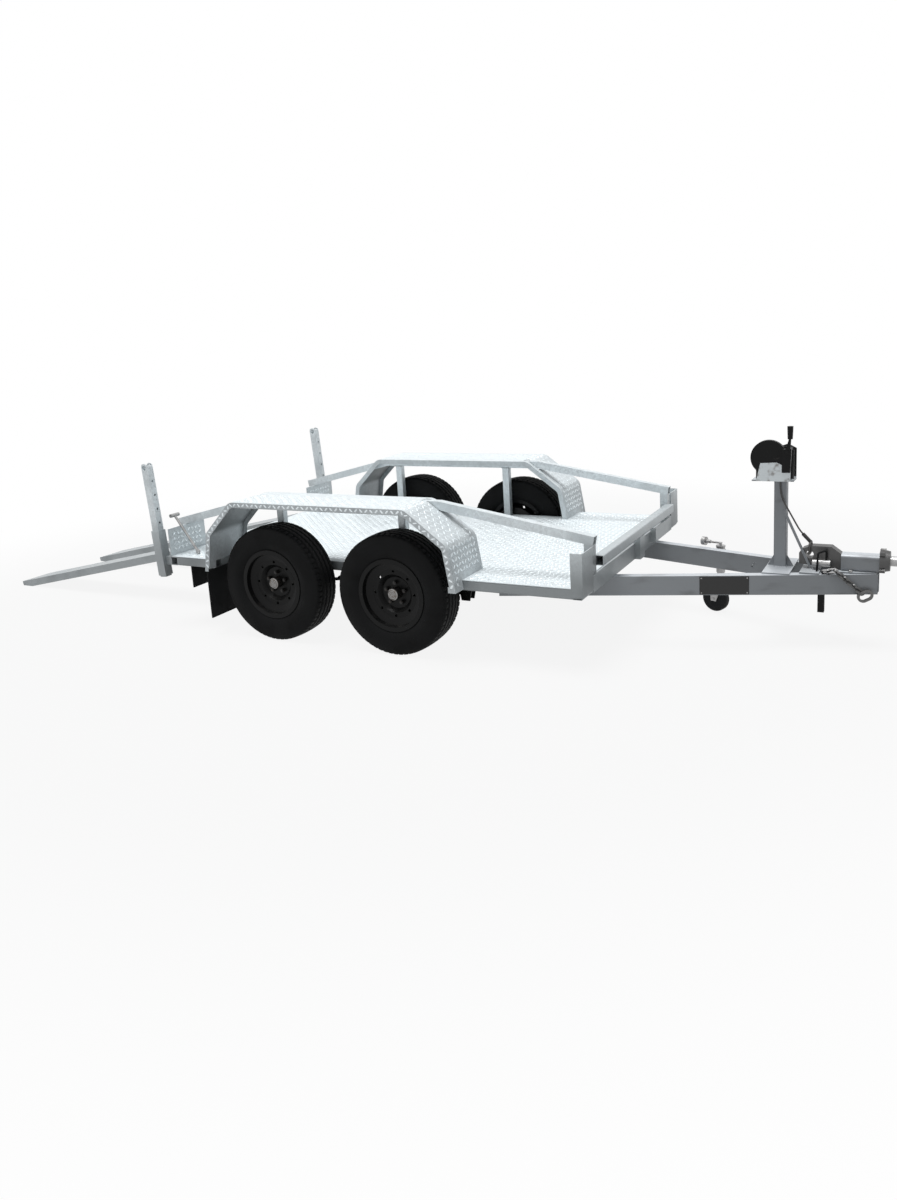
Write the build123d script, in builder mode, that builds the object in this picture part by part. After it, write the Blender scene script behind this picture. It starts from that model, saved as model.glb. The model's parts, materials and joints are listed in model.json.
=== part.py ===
"""Tandem-axle low-deck plant trailer with loading ramps, rear legs, a hand winch and an override coupling.

Millimetres. +X points forward to the coupling, +Y to the trailer's left, +Z up from the floor.
The origin is on the floor, halfway between the ramps' tips and the coupling's nose.
"""
import os
from math import asin, atan2, cos, degrees, hypot, radians, sin, tan

from build123d import *

# Clearances between pieces that are made to fit
run_gap = 0.05
slide_gap = 0.25
seat_gap = 0.3
slot_gap = 5.0

# Wheels, in the trailer's running gear
tyre_radius = 328
tyre_width = 200
wheel_track = 1630
axle_spacing = 780
bead_radius = 178
bead_width = 160
rim_lip = 18
rim_steel = 6
stud_circle = 114.3
stud_count = 5
stud_radius = 7
vent_circle = 238
vent_count = 8
vent_radius = 8
hub_radius = 46
hub_flange_radius = 74
spindle_radius = 20
axle_square = 45
brake_drum_radius = 122
brake_drum_width = 46

# Deck and its frame
deck_length = 2600
deck_width = 1700
deck_top = 430
deck_sheet = 4
deck_seam_y = 530
frame_tube = 50
frame_wall = 3
tube_corner = 6
rear_overhang = 787
well_behind_axle = 440
well_ahead_of_axle = 388
long_rail_y = 665
cross_member_count = 5

# Drawbar
drawbar_height = 100
drawbar_thick = 50
drawbar_wall = 4
drawbar_reach = 1447
drawbar_spread = 411
drawbar_slope = 0.308
drawbar_under_deck = 560
drawbar_front_gap = 240

# Sides of the deck
rail_tube = 45
rail_wall = 3
rail_top = 793
rail_rear_overhang = 55
rail_rear_drop = 166
rail_front_drop = 145
rail_flat_behind_axle = 150
rail_flat_ahead_of_axle = 200
upright_behind_axle = 60
upright_behind_front_axle = 30
guard_sheet = 3
guard_outer_y = 941
guard_inner_y = 612
guard_lip = 30
guard_bend = 70
guard_foot = 384
guard_shoulder_z = 620
post_plate = 5
post_bottom = 389
post_width = 150
post_flange = 60
stop_tube = 50
stop_tube_bottom = 497
stop_tube_ahead = 37
stop_plate = 80
front_lip_top = 460
latch_y = 265
latch_top = 480
rear_plate_width = 310
flap_thick = 8
flap_width = 220
flap_bottom = 100
short_flap_width = 190
short_flap_bottom = 240
short_flap_behind_well = 215

# Rear legs
leg_tube = 50
leg_wall = 4
leg_length = 690
leg_lean = 4
leg_y = 845
leg_behind_deck = 83
leg_bottom = 302
leg_hole_radius = 7
leg_hole_pitch = 84
leg_hole_count = 4
leg_first_hole = 108
leg_eye_radius = 15
sleeve_wall = 4
sleeve_length = 275
sleeve_bottom = 310

# Ramps
ramp_length = 1895
ramp_width = 245
ramp_inner_gap = 482
ramp_depth = 50
ramp_sheet = 4
ramp_start = 24
ramp_rise = 22
ramp_tip_rise = 30
ramp_rib_count = 5
hinge_bar_radius = 12
hinge_bar_z = 398
hinge_behind_deck = 30
knuckle_wall = 6
knuckle_width = 40
lug_thick = 10

# Springs
leaf_width = 45
leaf_thick = 8
leaf_count = 4
leaf_camber = 24
leaf_span = 660
eye_radius = 16
hanger_plate = 6
hanger_depth = 106

# Winch
winch_post_tube = 60
winch_post_top = 822
winch_post_behind_nose = 695
winch_plate = 6

# Derived heights and stations
frame_top = deck_top - deck_sheet
frame_bottom = frame_top - frame_tube
frame_mid = frame_top - frame_tube / 2
drawbar_top = frame_bottom
drawbar_bottom = drawbar_top - drawbar_height
ramp_arm = hypot(ramp_length, ramp_rise)
ramp_angle = degrees(asin((hinge_bar_z - ramp_tip_rise) / ramp_arm)) + degrees(atan2(ramp_rise, ramp_length))
ramp_reach = hinge_behind_deck + ramp_length * cos(radians(ramp_angle)) + ramp_rise * sin(radians(ramp_angle))
overall_length = ramp_reach + deck_length + drawbar_reach
deck_rear_x = ramp_reach - overall_length / 2
deck_front_x = deck_rear_x + deck_length
nose_x = overall_length / 2
rear_axle_x = deck_rear_x + rear_overhang
front_axle_x = rear_axle_x + axle_spacing
well_rear_x = rear_axle_x - well_behind_axle
well_front_x = front_axle_x + well_ahead_of_axle
half_deck = deck_width / 2
frame_half = frame_tube / 2
long_rail_inner = long_rail_y - frame_half
long_rail_outer = long_rail_y + frame_half
rail_y = long_rail_outer - rail_tube / 2
sides = (("left", 1), ("right", -1))

os.makedirs("parts", exist_ok=True)


def keep(piece, label):
    """Name a finished piece and write it."""
    piece.part.label = label
    export_step(piece.part, f"parts/{label}.step")


def region(points, mode=Mode.ADD):
    """Fill a closed outline of straight lines in the sketch that is open."""
    with BuildLine() as outline:
        Polyline(*points, close=True)
    make_face(outline.edges(), mode=mode)


def tube_section(width, height, wall):
    """Hollow rectangle with rounded corners in the sketch that is open."""
    RectangleRounded(width, height, tube_corner)
    Rectangle(width - 2 * wall, height - 2 * wall, mode=Mode.SUBTRACT)


def mitred_band(points, half):
    """Outline of a band of even width along a path of straight runs, mitred at its bends."""
    above, below = [], []
    for index, (x, z) in enumerate(points):
        before = points[max(index - 1, 0)]
        after = points[min(index + 1, len(points) - 1)]
        turn_in = atan2(z - before[1], x - before[0]) if index else None
        turn_out = atan2(after[1] - z, after[0] - x) if index < len(points) - 1 else None
        heading_in = turn_out if turn_in is None else turn_in
        heading_out = turn_in if turn_out is None else turn_out
        middle = (heading_in + heading_out) / 2
        reach = half / cos((heading_out - heading_in) / 2)
        above.append((x - reach * sin(middle), z + reach * cos(middle)))
        below.append((x + reach * sin(middle), z - reach * cos(middle)))
    return above + below[::-1]


# Deck sheets: one down the middle, and one along each side with a well cut out for the wheels
sheet_mid_x = (deck_rear_x + deck_front_x - frame_tube) / 2
with BuildPart() as deck_plate:
    with BuildSketch(Plane.XY.offset(frame_top)):
        with Locations((sheet_mid_x, 0)):
            Rectangle(deck_length - frame_tube, 2 * deck_seam_y)
    extrude(amount=deck_sheet)
keep(deck_plate, "deck_plate")

with BuildPart() as deck_side_sheets:
    with BuildSketch(Plane.XY.offset(frame_top)):
        for _, side in sides:
            with Locations((sheet_mid_x, side * (half_deck + deck_seam_y) / 2)):
                Rectangle(deck_length - frame_tube, half_deck - deck_seam_y)
            with Locations(((well_rear_x + well_front_x) / 2, side * (half_deck + long_rail_outer) / 2)):
                Rectangle(well_front_x - well_rear_x, half_deck - long_rail_outer, mode=Mode.SUBTRACT)
    extrude(amount=deck_sheet)
keep(deck_side_sheets, "deck_side_sheets")

# Two long rails under the deck, from the rear cross member to the front one
with BuildPart() as deck_rails:
    with BuildSketch(Plane.YZ.offset(deck_rear_x + frame_tube)):
        with Locations((long_rail_y, frame_mid), (-long_rail_y, frame_mid)):
            RectangleRounded(frame_tube, frame_tube, tube_corner)
        with Locations((long_rail_y, frame_mid), (-long_rail_y, frame_mid)):
            Rectangle(frame_tube - 2 * frame_wall, frame_tube - 2 * frame_wall, mode=Mode.SUBTRACT)
    extrude(amount=deck_length - 2 * frame_tube)
keep(deck_rails, "deck_rails")

# Cross members: the rear and front ones as wide as the deck, the others between the long rails
front_member_height = deck_top - frame_bottom
with BuildPart() as deck_cross_members:
    with BuildSketch(Plane.XZ):
        with Locations((deck_rear_x + frame_half, frame_mid)):
            tube_section(frame_tube, frame_tube, frame_wall)
        with Locations((deck_front_x - frame_half, frame_bottom + front_member_height / 2)):
            tube_section(frame_tube, front_member_height, frame_wall)
    extrude(amount=half_deck, both=True)
    lip_inner, lip_outer = stop_plate / 2, half_deck + post_plate - post_width
    with BuildSketch(Plane.YZ.offset(deck_front_x)):
        with Locations(*((side * (lip_inner + lip_outer) / 2, (frame_bottom + front_lip_top) / 2) for _, side in sides)):
            Rectangle(lip_outer - lip_inner, front_lip_top - frame_bottom)
    extrude(amount=post_plate)
    inner_pitch = (deck_length - frame_tube) / (cross_member_count + 1)
    for number in range(1, cross_member_count + 1):
        with BuildSketch(Plane.XZ):
            with Locations((deck_rear_x + frame_half + number * inner_pitch, frame_mid)):
                tube_section(frame_tube, frame_tube, frame_wall)
        extrude(amount=long_rail_inner, both=True)
keep(deck_cross_members, "deck_cross_members")

# Side members at the deck's corners, each a side tube with a short tube along the well's end
corner_frames = (
    # outer end, well end, place of the short tube
    (deck_front_x - frame_tube, well_front_x, well_front_x + frame_half),
    (deck_rear_x + frame_tube, well_rear_x, well_rear_x - frame_half),
)
with BuildPart() as deck_side_members:
    for _, side in sides:
        for outer_x, inner_x, short_x in corner_frames:
            with BuildSketch(Plane.YZ.offset(min(outer_x, inner_x))):
                with Locations((side * (half_deck - frame_half), frame_mid)):
                    tube_section(frame_tube, frame_tube, frame_wall)
            extrude(amount=abs(outer_x - inner_x))
            with BuildSketch(Plane.XZ.offset(-side * (half_deck - frame_tube))):
                with Locations((short_x, frame_mid)):
                    tube_section(frame_tube, frame_tube, frame_wall)
            extrude(amount=side * (half_deck - frame_tube - long_rail_outer))
keep(deck_side_members, "deck_side_members")

# Drawbar: two upright box sections that meet at the coupling
drawbar_tilt = atan2(drawbar_slope, 1)
drawbar_rear_x = deck_front_x - drawbar_under_deck
drawbar_front_x = nose_x - drawbar_front_gap


def drawbar_y(x, inset=0):
    """Distance of the drawbar's outer face from the centre line, or of a line set in from that face."""
    return drawbar_spread - drawbar_slope * (x - deck_front_x) - inset / cos(drawbar_tilt)


def drawbar_outline(inset, side):
    """Plan of one drawbar member, set in by a wall's thickness, cut on the centre line."""
    inner = drawbar_thick - inset
    meet_x = deck_front_x + (drawbar_spread - inner / cos(drawbar_tilt)) / drawbar_slope
    return (
        (drawbar_rear_x, side * drawbar_y(drawbar_rear_x, inset)),
        (drawbar_front_x, side * drawbar_y(drawbar_front_x, inset)),
        (drawbar_front_x, 0),
        (meet_x, 0),
        (drawbar_rear_x, side * drawbar_y(drawbar_rear_x, inner)),
    )


for side_name, side in sides:
    with BuildPart() as drawbar:
        with BuildSketch(Plane.XY.offset(drawbar_bottom)):
            region(drawbar_outline(0, side))
        extrude(amount=drawbar_height)
        with BuildSketch(Plane.XY.offset(drawbar_bottom + drawbar_wall)):
            region(drawbar_outline(drawbar_wall, side))
        extrude(amount=drawbar_height - 2 * drawbar_wall, mode=Mode.SUBTRACT)
    keep(drawbar, f"drawbar_{side_name}")

# Side rails: one tube bent over the wheels from the rear plate to the front post
rail_mid = rail_top - rail_tube / 2
rail_path = (
    (deck_rear_x - rail_rear_overhang, rail_mid - rail_rear_drop),
    (rear_axle_x - rail_flat_behind_axle, rail_mid),
    (front_axle_x + rail_flat_ahead_of_axle, rail_mid),
    (deck_front_x + post_plate, rail_mid - rail_front_drop),
)


def rail_underside(x, run):
    """Height of the rail's lower face at x, on the run that starts at that point of its path."""
    (x0, z0), (x1, z1) = rail_path[run], rail_path[run + 1]
    slope = (z1 - z0) / (x1 - x0)
    return z0 + slope * (x - x0) - rail_tube / 2 * hypot(1, slope)


with BuildPart() as side_rails:
    for _, side in sides:
        with BuildSketch(Plane.XZ.offset(-side * rail_y)):
            region(mitred_band(rail_path, rail_tube / 2))
        extrude(amount=rail_tube / 2, both=True)
        with BuildSketch(Plane.XZ.offset(-side * rail_y)):
            region(mitred_band(rail_path, rail_tube / 2 - rail_wall))
        extrude(amount=rail_tube / 2 - rail_wall, both=True, mode=Mode.SUBTRACT)
keep(side_rails, "side_rails")

# Uprights between the deck and the side rails, beside the wheels
with BuildPart() as guard_uprights:
    with BuildSketch(Plane.XY.offset(deck_top)):
        for x in (rear_axle_x - upright_behind_axle, front_axle_x - upright_behind_front_axle):
            with Locations((x, rail_y), (x, -rail_y)):
                tube_section(rail_tube, rail_tube, rail_wall)
    extrude(amount=rail_top - rail_tube - deck_top)
keep(guard_uprights, "guard_uprights")

# Wheel guards: a bent sheet over both wheels with a folded lip along each edge
guard_path = (
    # x, z of the outer surface
    (well_rear_x, guard_foot),
    (well_rear_x + 38, guard_shoulder_z - 10),
    (rear_axle_x - 210, rail_top + guard_sheet),
    (front_axle_x + 138, rail_top + guard_sheet),
    (well_front_x - 18, guard_shoulder_z),
    (well_front_x + 20, guard_foot),
)


def arch_band(depth):
    """Section of the guard: the strip of a given depth under its outer surface, open at the foot."""
    with BuildLine() as outline:
        Polyline(*guard_path, close=True)
    skin = make_face(outline.edges())
    fillet([corner for corner in skin.vertices() if corner.Y > guard_foot + 1], radius=guard_bend)
    offset(amount=-depth, mode=Mode.SUBTRACT)
    with Locations(((well_rear_x + well_front_x) / 2 + 1, guard_foot)):
        Rectangle(well_front_x - well_rear_x + 20 - 2 * depth - 8, 2 * depth + 2, mode=Mode.SUBTRACT)


guard_mid_y = (guard_outer_y + guard_inner_y) / 2
guard_width = guard_outer_y - guard_inner_y
for side_name, side in sides:
    with BuildPart() as guard:
        with BuildSketch(Plane.XZ.offset(-side * guard_mid_y)):
            arch_band(guard_sheet)
        extrude(amount=guard_width / 2, both=True)
        for edge_y in (guard_outer_y - guard_sheet / 2, guard_inner_y + guard_sheet / 2):
            with BuildSketch(Plane.XZ.offset(-side * edge_y)):
                arch_band(guard_lip)
            extrude(amount=guard_sheet / 2, both=True)
        inner_foot_width = half_deck - guard_inner_y + 4
        with BuildSketch(Plane.XY.offset(guard_foot - 1)):
            with Locations(((well_rear_x + well_front_x) / 2, side * (guard_inner_y + inner_foot_width / 2 - 2))):
                Rectangle(well_front_x - well_rear_x + 200, inner_foot_width, mode=Mode.ADD)
        extrude(amount=deck_top - guard_foot + 1, mode=Mode.SUBTRACT)
        with BuildSketch(Plane.XZ.offset(-side * rail_y)):
            region(mitred_band(rail_path, rail_tube / 2 + slot_gap))
            flat_rear_x, flat_front_x = guard_path[2][0] + guard_bend / 2, guard_path[3][0] - guard_bend / 2
            with Locations(((flat_rear_x + flat_front_x) / 2, rail_mid)):
                Rectangle(flat_front_x - flat_rear_x, rail_tube * 3, mode=Mode.SUBTRACT)
        extrude(amount=rail_tube / 2 + slot_gap, both=True, mode=Mode.SUBTRACT)
    keep(guard, f"guard_{side_name}")

# Corner posts: an angled plate at the deck's front corner, beside an upright tube that carries the rail
upright_y = rail_y
upright_half = rail_tube / 2
with BuildPart() as corner_posts:
    for _, side in sides:
        with BuildSketch(Plane.XY.offset(post_bottom)):
            with Locations((deck_front_x + post_plate / 2, side * (half_deck + post_plate - post_width / 2))):
                Rectangle(post_plate, post_width)
            with Locations((deck_front_x + post_plate - post_flange / 2, side * (half_deck + post_plate / 2))):
                Rectangle(post_flange, post_plate)
        extrude(amount=rail_underside(rail_path[3][0], 2) - post_bottom)
        with BuildSketch(Plane.XZ.offset(-side * upright_y)):
            rear_x, front_x = deck_front_x - rail_tube, deck_front_x
            region((
                (rear_x, deck_top),
                (front_x, deck_top),
                (front_x, rail_underside(front_x, 2)),
                (rear_x, rail_underside(rear_x, 2)),
            ))
        extrude(amount=upright_half, both=True)
        with BuildSketch(Plane.XY.offset(deck_top)):
            with Locations((deck_front_x - rail_tube / 2, side * upright_y)):
                Rectangle(rail_tube - 2 * rail_wall, rail_tube - 2 * rail_wall)
        extrude(amount=rail_top - deck_top, mode=Mode.SUBTRACT)
keep(corner_posts, "corner_posts")

# Stop tube across the deck's front, on a plate in the middle and between the posts' uprights
stop_half = upright_y - upright_half
with BuildPart() as front_stop_tube:
    stop_x = deck_front_x + stop_tube_ahead - stop_tube / 2
    with BuildSketch(Plane.XZ):
        with Locations((stop_x, stop_tube_bottom + stop_tube / 2)):
            tube_section(stop_tube, stop_tube, frame_wall)
    extrude(amount=stop_half, both=True)
    with BuildSketch(Plane.XZ):
        region((
            (deck_front_x, frame_bottom),
            (deck_front_x + stop_tube_ahead, frame_bottom),
            (deck_front_x + stop_tube_ahead, stop_tube_bottom + 2),
            (deck_front_x, stop_tube_bottom + 2),
        ))
    extrude(amount=stop_plate / 2, both=True)
    with BuildSketch(Plane.XY.offset(frame_mid)):
        with Locations((deck_front_x + (post_plate + stop_tube_ahead) / 2, latch_y)):
            Rectangle(stop_tube_ahead - post_plate, 2 * post_plate)
    extrude(amount=latch_top - frame_mid)
keep(front_stop_tube, "front_stop_tube")

# Plates across the deck's rear corners, under the rails' ends
with BuildPart() as rear_plates:
    plate_top = rail_underside(deck_rear_x, 0)
    for _, side in sides:
        with BuildSketch(Plane.YZ.offset(deck_rear_x)):
            with Locations((side * (half_deck - rear_plate_width / 2), (deck_top + plate_top) / 2)):
                Rectangle(rear_plate_width, plate_top - deck_top)
        extrude(amount=deck_sheet)
keep(rear_plates, "rear_plates")

# Rubber flaps behind the wheels: a long one on the well's end, a short one under the deck
with BuildPart() as mud_flaps:
    for _, side in sides:
        flap_y = long_rail_outer + 20 + flap_width / 2
        with BuildSketch(Plane.YZ.offset(well_rear_x)):
            with Locations((side * flap_y, (flap_bottom + guard_foot) / 2)):
                Rectangle(flap_width, guard_foot - flap_bottom)
        extrude(amount=flap_thick)
        short_y = half_deck - 20 - short_flap_width / 2
        with BuildSketch(Plane.YZ.offset(well_rear_x - short_flap_behind_well)):
            with Locations((side * short_y, (short_flap_bottom + frame_bottom) / 2)):
                Rectangle(short_flap_width, frame_bottom - short_flap_bottom)
        extrude(amount=flap_thick)
keep(mud_flaps, "mud_flaps")

# Rear legs: drilled tubes that slide in sleeves behind the deck's corners, leaning back at the top
leg_mid_x = deck_rear_x - leg_behind_deck
lean = radians(leg_lean)
sleeve_tube = leg_tube + 2 * (slide_gap + sleeve_wall)


def leg_plane(height, side):
    """Plane square to a leg, where its axis is at the given height."""
    x = leg_mid_x + (sleeve_bottom + sleeve_length - height) * tan(lean)
    return Plane(origin=(x, side * leg_y, height), x_dir=(0, 1, 0), z_dir=(-sin(lean), 0, cos(lean)))


with BuildPart() as leg_sleeves:
    for _, side in sides:
        with BuildSketch(leg_plane(sleeve_bottom, side)):
            Rectangle(sleeve_tube, sleeve_tube)
        extrude(amount=sleeve_length)
        with BuildSketch(Plane.XZ.offset(-side * (half_deck - 16))):
            region((
                (leg_mid_x, frame_bottom),
                (deck_rear_x, frame_bottom),
                (deck_rear_x, frame_top),
                (leg_mid_x, frame_top),
            ))
        extrude(amount=15, both=True)
        with BuildSketch(leg_plane(sleeve_bottom, side)):
            Rectangle(leg_tube + 2 * slide_gap, leg_tube + 2 * slide_gap)
        extrude(amount=sleeve_length, mode=Mode.SUBTRACT)
keep(leg_sleeves, "leg_sleeves")

for side_name, side in sides:
    foot = leg_plane(leg_bottom, side)
    with BuildPart() as leg:
        with BuildSketch(foot):
            tube_section(leg_tube, leg_tube, leg_wall)
        extrude(amount=leg_length)
        across = Plane(origin=foot.origin, x_dir=foot.z_dir, z_dir=(0, 1, 0))
        with BuildSketch(across):
            with Locations((leg_length - leg_tube / 2, 0)):
                Circle(leg_eye_radius)
        extrude(amount=leg_tube, both=True, mode=Mode.SUBTRACT)
        with BuildSketch(across):
            with Locations((leg_length - leg_tube / 4, 0)):
                Rectangle(leg_tube / 2, leg_tube)
            with Locations((leg_length - leg_tube / 2, 0)):
                Circle(leg_tube / 2, mode=Mode.SUBTRACT)
        extrude(amount=leg_tube, both=True, mode=Mode.SUBTRACT)
        along = Plane(origin=foot.origin, x_dir=foot.z_dir, z_dir=foot.z_dir.cross(Vector(0, 1, 0)))
        with BuildSketch(along):
            for number in range(leg_hole_count):
                with Locations((leg_length - leg_first_hole - number * leg_hole_pitch, 0)):
                    Circle(leg_hole_radius)
        extrude(amount=leg_tube, both=True, mode=Mode.SUBTRACT)
    keep(leg, f"leg_{side_name}")

# Hinge bar for the ramps, in lugs on the rear cross member
hinge_x = deck_rear_x - hinge_behind_deck
ramp_mid_y = ramp_inner_gap / 2 + ramp_width / 2
knuckle_radius = hinge_bar_radius + knuckle_wall
knuckle_edge = ramp_width / 2 - knuckle_width / 2
lug_offset = knuckle_edge - knuckle_width / 2 - lug_thick / 2 - 1
with BuildPart() as ramp_hinge_bar:
    with BuildSketch(Plane.XZ):
        with Locations((hinge_x, hinge_bar_z)):
            Circle(hinge_bar_radius)
    extrude(amount=ramp_inner_gap / 2 + ramp_width + 12, both=True)
    for _, side in sides:
        for offset_y in (-lug_offset, lug_offset):
            with BuildSketch(Plane.XZ.offset(-side * ramp_mid_y - offset_y)):
                with Locations((hinge_x, hinge_bar_z)):
                    Circle(knuckle_radius)
                region((
                    (hinge_x, hinge_bar_z - knuckle_radius),
                    (deck_rear_x, hinge_bar_z - knuckle_radius),
                    (deck_rear_x, hinge_bar_z + knuckle_radius),
                    (hinge_x, hinge_bar_z + knuckle_radius),
                ))
            extrude(amount=lug_thick / 2, both=True)
keep(ramp_hinge_bar, "ramp_hinge_bar")

# Ramps: folded sheet with ribs below, hinged at the deck and cut off level at the floor
slope_angle = radians(ramp_angle)
for side_name, side in sides:
    ramp_plane = Plane(
        origin=(hinge_x, side * ramp_mid_y, hinge_bar_z),
        x_dir=(-cos(slope_angle), 0, -sin(slope_angle)),
        z_dir=(0, 1, 0),
    )
    rise_sign = 1 if ramp_plane.y_dir.Z > 0 else -1
    top = rise_sign * ramp_rise
    bottom = rise_sign * (ramp_rise - ramp_depth)
    with BuildPart() as ramp:
        with BuildSketch(ramp_plane):
            region(((ramp_start, bottom), (ramp_length, bottom), (ramp_length, top), (ramp_start, top)))
        extrude(amount=ramp_width / 2, both=True)
        rib_pitch = (ramp_length - ramp_start - ramp_sheet) / (ramp_rib_count + 1)
        with BuildSketch(ramp_plane):
            for number in range(ramp_rib_count + 1):
                start = ramp_start + ramp_sheet + number * rib_pitch
                end = start + rib_pitch - ramp_sheet
                under = rise_sign * (ramp_rise - ramp_sheet)
                low = bottom - rise_sign * 5
                region(((start, low), (end, low), (end, under), (start, under)))
        extrude(amount=ramp_width / 2 - ramp_sheet, both=True, mode=Mode.SUBTRACT)
        for place in (-knuckle_edge, knuckle_edge):
            with BuildSketch(Plane(origin=ramp_plane.origin + Vector(0, place, 0),
                                   x_dir=ramp_plane.x_dir, z_dir=(0, 1, 0))):
                Circle(knuckle_radius)
                region(((0, -rise_sign * knuckle_radius), (ramp_start + 1, bottom),
                        (ramp_start + 1, rise_sign * knuckle_radius), (0, rise_sign * knuckle_radius)))
            extrude(amount=knuckle_width / 2, both=True)
        with BuildSketch(ramp_plane):
            Circle(hinge_bar_radius + run_gap)
        extrude(amount=ramp_width, both=True, mode=Mode.SUBTRACT)
        split(bisect_by=Plane.XY, keep=Keep.TOP)
    keep(ramp, f"ramp_{side_name}")

# Axles: square beams with a spindle at each end and a brake drum inside each wheel
half_track = wheel_track / 2
hub_inner_y = half_track - 62
hub_outer_y = half_track + 48
drum_inner_y = hub_inner_y - 4 - brake_drum_width
with BuildPart() as axles:
    for axle_x in (rear_axle_x, front_axle_x):
        with BuildSketch(Plane.XZ):
            with Locations((axle_x, tyre_radius)):
                Rectangle(axle_square, axle_square)
        extrude(amount=drum_inner_y, both=True)
        with BuildSketch(Plane.XZ):
            with Locations((axle_x, tyre_radius)):
                Circle(spindle_radius)
        extrude(amount=hub_outer_y - 12, both=True)
        for _, side in sides:
            with BuildSketch(Plane.XZ.offset(-side * drum_inner_y)):
                with Locations((axle_x, tyre_radius)):
                    Circle(brake_drum_radius)
            extrude(amount=-side * brake_drum_width)
keep(axles, "axles")

# Wheels: tyre, steel rim with its disc, and hub with nuts and cap
wheel_places = (
    # name, axle, side
    ("rear_left", rear_axle_x, 1),
    ("rear_right", rear_axle_x, -1),
    ("front_left", front_axle_x, 1),
    ("front_right", front_axle_x, -1),
)
half_bead = bead_width / 2
half_tyre = tyre_width / 2
half_tread = 82
widest_radius = 262
disc_y = 12
disc_thick = 8
vent_face_y = disc_y + 32
vent_band = 13
cap_radius = 32
for place, axle_x, side in wheel_places:
    wheel_plane = Plane.YZ.offset(axle_x)
    spin_axis = Axis((axle_x, 0, tyre_radius), (0, 1, 0))

    def at(y, radius, side=side):
        """Point of a wheel's half section, from its middle plane outwards and its radius."""
        return (side * (half_track + y), tyre_radius + radius)

    with BuildPart() as tyre:
        with BuildSketch(wheel_plane):
            outer_half = [
                # across the wheel from its middle plane, radius
                (half_bead, bead_radius),
                (half_bead, bead_radius + rim_lip),
                (half_tyre, widest_radius),
                (half_tread, tyre_radius),
            ]
            inner_half = [(-y, radius) for y, radius in outer_half[::-1]]
            region([at(y, radius) for y, radius in outer_half + inner_half])
        revolve(axis=spin_axis)
    keep(tyre, f"tyre_{place}")

    with BuildPart() as rim:
        with BuildSketch(wheel_plane):
            region((
                at(-half_bead - rim_steel, bead_radius + rim_lip),
                at(-half_bead, bead_radius + rim_lip),
                at(-half_bead, bead_radius),
                at(half_bead, bead_radius),
                at(half_bead, bead_radius + rim_lip),
                at(half_bead + rim_steel, bead_radius + rim_lip),
                at(half_bead + rim_steel, bead_radius - rim_steel),
                at(disc_y + 46, bead_radius - rim_steel - 4),
                at(vent_face_y, vent_circle / 2 + vent_band),
                at(vent_face_y, vent_circle / 2 - vent_band - 2),
                at(disc_y + disc_thick, 84),
                at(disc_y + disc_thick, hub_radius - 12),
                at(disc_y, hub_radius - 12),
                at(disc_y, 88),
                at(vent_face_y - disc_thick, vent_circle / 2 - vent_band),
                at(vent_face_y - disc_thick, vent_circle / 2 + vent_band - 2),
                at(disc_y + 34, bead_radius - rim_steel - 4),
                at(-half_bead - rim_steel, bead_radius - rim_steel),
            ))
        revolve(axis=spin_axis)
        with BuildSketch(Plane.XZ.offset(-side * (half_track + disc_y))):
            with Locations((axle_x, tyre_radius)):
                with PolarLocations(stud_circle / 2, stud_count, start_angle=90):
                    Circle(stud_radius + 0.5)
                with PolarLocations(vent_circle / 2, vent_count):
                    Circle(vent_radius)
        extrude(amount=60, both=True, mode=Mode.SUBTRACT)
    keep(rim, f"rim_{place}")

    with BuildPart() as hub:
        with BuildSketch(wheel_plane):
            region((
                at(-62, spindle_radius + run_gap),
                at(-62, hub_radius),
                at(disc_y - 12, hub_radius),
                at(disc_y - 12, hub_flange_radius),
                at(disc_y, hub_flange_radius),
                at(disc_y, cap_radius),
                at(64, cap_radius),
                at(71, cap_radius - 10),
                at(71, 0),
                at(40, 0),
                at(40, spindle_radius + run_gap),
            ))
        revolve(axis=spin_axis)
        for start, radius, length in ((disc_y - 1, stud_radius, disc_thick + 24), (disc_y + disc_thick, 11, 20)):
            with BuildSketch(Plane.XZ.offset(-side * (half_track + start))):
                with Locations((axle_x, tyre_radius)):
                    with PolarLocations(stud_circle / 2, stud_count, start_angle=90):
                        RegularPolygon(radius, 6)
            extrude(amount=-side * length)
    keep(hub, f"hub_{place}")

# Leaf springs under the axles, cambered up to an eye at the outer end
leaf_bend = (leaf_span ** 2 / 4 + leaf_camber ** 2) / (2 * leaf_camber)
leaf_top = tyre_radius - axle_square / 2 - axle_square ** 2 / 8 / leaf_bend
spring_y = long_rail_y
with BuildPart() as leaf_springs:
    for _, side in sides:
        for axle_x, outward in ((rear_axle_x, -1), (front_axle_x, 1)):
            with BuildSketch(Plane.XZ.offset(-side * spring_y)):
                for leaf in range(leaf_count):
                    half_leaf = leaf_span / 2 * (1 - leaf / (leaf_count + 0.6))
                    low = leaf_bend + (leaf + 1) * leaf_thick
                    high = leaf_bend + leaf * leaf_thick
                    centre_z = leaf_top + leaf_bend
                    with BuildLine():
                        turn = degrees(asin(half_leaf / leaf_bend))
                        outer = CenterArc((axle_x, centre_z), low, 270 - turn, 2 * turn)
                        inner = CenterArc((axle_x, centre_z), high, 270 - turn, 2 * turn)
                        Line(outer @ 0, inner @ 0)
                        Line(outer @ 1, inner @ 1)
                    make_face()
                eye_turn = asin(leaf_span / 2 / leaf_bend)
                eye_arm = leaf_bend + leaf_thick / 2
                with Locations((axle_x + outward * eye_arm * sin(eye_turn),
                                leaf_top + leaf_bend - eye_arm * cos(eye_turn))):
                    Circle(eye_radius)
            extrude(amount=leaf_width / 2, both=True)
keep(leaf_springs, "leaf_springs")

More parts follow.
